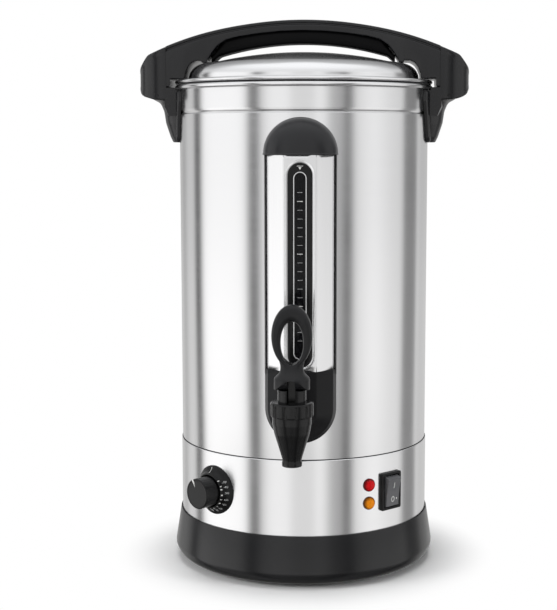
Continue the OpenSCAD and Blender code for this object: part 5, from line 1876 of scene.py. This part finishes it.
@dataclass
class Studio:
    """World light, floor, lamps and camera."""

    level: float = 0.745
    diffuse_share: float = 0.50
    glossy_extra: float = 0.75
    floor_z: float = -0.2
    floor_fade: tuple[float, float] = (119.0, 178.0)
    panels: tuple[Panel, ...] = (
        Panel(-77, 26, 0.32, 6), Panel(-111.5, 5.5, -0.70), Panel(-43.5, 5.5, -0.64, 2.5),
        Panel(-20, 11, 0.20, 4), Panel(19, 5.5, 0.20), Panel(34, 9, -0.33, 9), Panel(44.2, 4.5, -0.50),
        Panel(70, 12, 0.18, 15), Panel(119, 12, -0.52), Panel(-135, 15, -0.12, 6))

    def world(self) -> None:
        """Upright panels round the horizon, brighter overhead; the camera itself sees plain white.

        Each panel adds its strength within its half width and fades upwards. Shares then darken the ground,
        the horizon and what is behind, and glossy rays get more of the whole than the others.
        """
        world = bpy.data.worlds.new("studio")
        bpy.context.scene.world = world
        tree = Tree(world)
        x, y, z = tree.coordinates("Generated")
        azimuth = x.angle_to(0.0 - y)
        panel_height = z.ramp(0.18, 0.46, 1.0, 0.0)
        total: Any = self.level
        for panel in self.panels:
            away = abs(azimuth - panel.azimuth)
            shape = away.ramp(panel.half - panel.soft, panel.half + panel.soft, panel.strength, 0.0)
            total = shape * panel_height + total
        back_wall = abs(azimuth).ramp(130.0, 142.0, 0.0, -0.22)
        ground = z.ramp(-0.62, -0.36, 0.30, 1.0)
        horizon = z.ramp(-0.14, 0.0) * z.ramp(0.12, 0.28, 1.0, 0.0) * 0.15
        total = (back_wall + total) * ground * (1.0 - horizon)
        overhead, overhead_level = z.ramp(0.50, 0.95), 0.98
        total = total * (1.0 - overhead) + overhead * overhead_level
        behind = abs(azimuth).ramp(95.0, 135.0) * (z.ramp(0.10, 0.26) * 0.16 + z.ramp(0.30, 0.62) * 0.40)
        total = total * (1.0 - behind * z.ramp(0.94, 0.995, 1.0, 0.0))
        light = tree.node("ShaderNodeLightPath")
        camera = Value(tree, light.outputs["Is Camera Ray"])
        glossy = Value(tree, light.outputs["Is Glossy Ray"])
        strength = total * (glossy * self.glossy_extra + self.diffuse_share)
        strength = strength * (1.0 - camera) + camera
        colour = tree.blend(z.ramp(-0.4, 0.9), (1.0, 0.995, 0.985, 1.0), (0.985, 0.992, 1.0, 1.0))
        shade = tree.blend(camera, colour, (1.0, 1.0, 1.0, 1.0))
        background = tree.node("ShaderNodeBackground", {}, {"Color": shade, "Strength": strength})
        tree.node("ShaderNodeOutputWorld", {}, {"Surface": background.outputs[0]})

    def floor(self) -> None:
        """A pale floor that takes the soft shadow and fades to white away from the urn."""
        profile = np.array([[radius, self.floor_z] for radius in (0.0, 120.0, 400.0, 4000.0)])
        floor = Skin().lathed(profile, 96, closed=False).raw("studio_floor")
        material = bpy.data.materials.new("studio_floor")
        tree = Tree(material)
        x, y, z = tree.place()
        far = (x * x + y * y).root().ramp(*self.floor_fade)
        fleck = tree.noise(tree.vector(x, y, z), 0.02, 2.0)
        paint = tree.node("ShaderNodeBsdfPrincipled", {}, {
            "Base Color": tree.blend(fleck, (0.86, 0.86, 0.86, 1), (0.90, 0.90, 0.90, 1)), "Roughness": 0.8,
            "Specular IOR Level": 0.1})
        white = tree.node("ShaderNodeEmission", {}, {"Color": (1, 1, 1, 1), "Strength": 1.0})
        camera = Value(tree, tree.node("ShaderNodeLightPath").outputs["Is Camera Ray"])
        share = far * camera
        tree.surface(tree.node("ShaderNodeMixShader", {}, {0: share, 1: paint.outputs[0],
                                                           2: white.outputs[0]}).outputs[0])
        floor.data.materials.append(material)
        floor.visible_glossy = False

    def lamps(self) -> None:
        """Three soft boxes that steel does not mirror; their places and sizes are in metres."""
        aim_height = 0.22
        for name, place, size, power in (("left_box", (-2.0, -0.9, 0.9), 0.9, 30.0),
                                         ("right_box", (2.1, -0.7, 0.7), 0.7, 13.0),
                                         ("top_box", (0.0, 0.1, 2.2), 1.4, 30.0)):
            data = bpy.data.lights.new(name, "AREA")
            data.shape, data.size, data.energy = "SQUARE", size, power
            lamp = placed(name, data)
            lamp.location = place
            aim = Vector((0.0, 0.0, aim_height)) - Vector(place)
            lamp.rotation_euler = aim.to_track_quat("-Z", "Y").to_euler()
            lamp.visible_glossy = False

    def camera(self) -> None:
        """A long lens a little right of the tap, and lower than the lid; its place is in metres."""
        data = bpy.data.cameras.new("camera")
        data.lens, data.sensor_width, data.shift_x = 80.02, 36.0, -0.0414
        eye = Vector((0.06495, -1.2394, 0.3824))
        camera = placed("camera", data)
        camera.location = eye
        pitch = math.radians(6.93)
        level = Vector((-eye.x, -eye.y, 0.0)).normalized()
        aim = level * math.cos(pitch) + Vector((0.0, 0.0, -math.sin(pitch)))
        camera.rotation_euler = aim.to_track_quat("-Z", "Y").to_euler()
        bpy.context.scene.camera = camera

    def build(self) -> None:
        """Sets up the studio."""
        self.world()
        self.floor()
        self.lamps()
        self.camera()
        bpy.context.scene.view_settings.view_transform = "Standard"


def main() -> None:
    """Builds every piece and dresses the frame."""
    for part in (Body(), Lid(), Arch(), SideHandle(1), SideHandle(-1), Gauge(), Tap(), Dial(), Controls()):
        part.build()
    dress_kept()
    Studio().build()


if __name__ == "__main__":
    main()
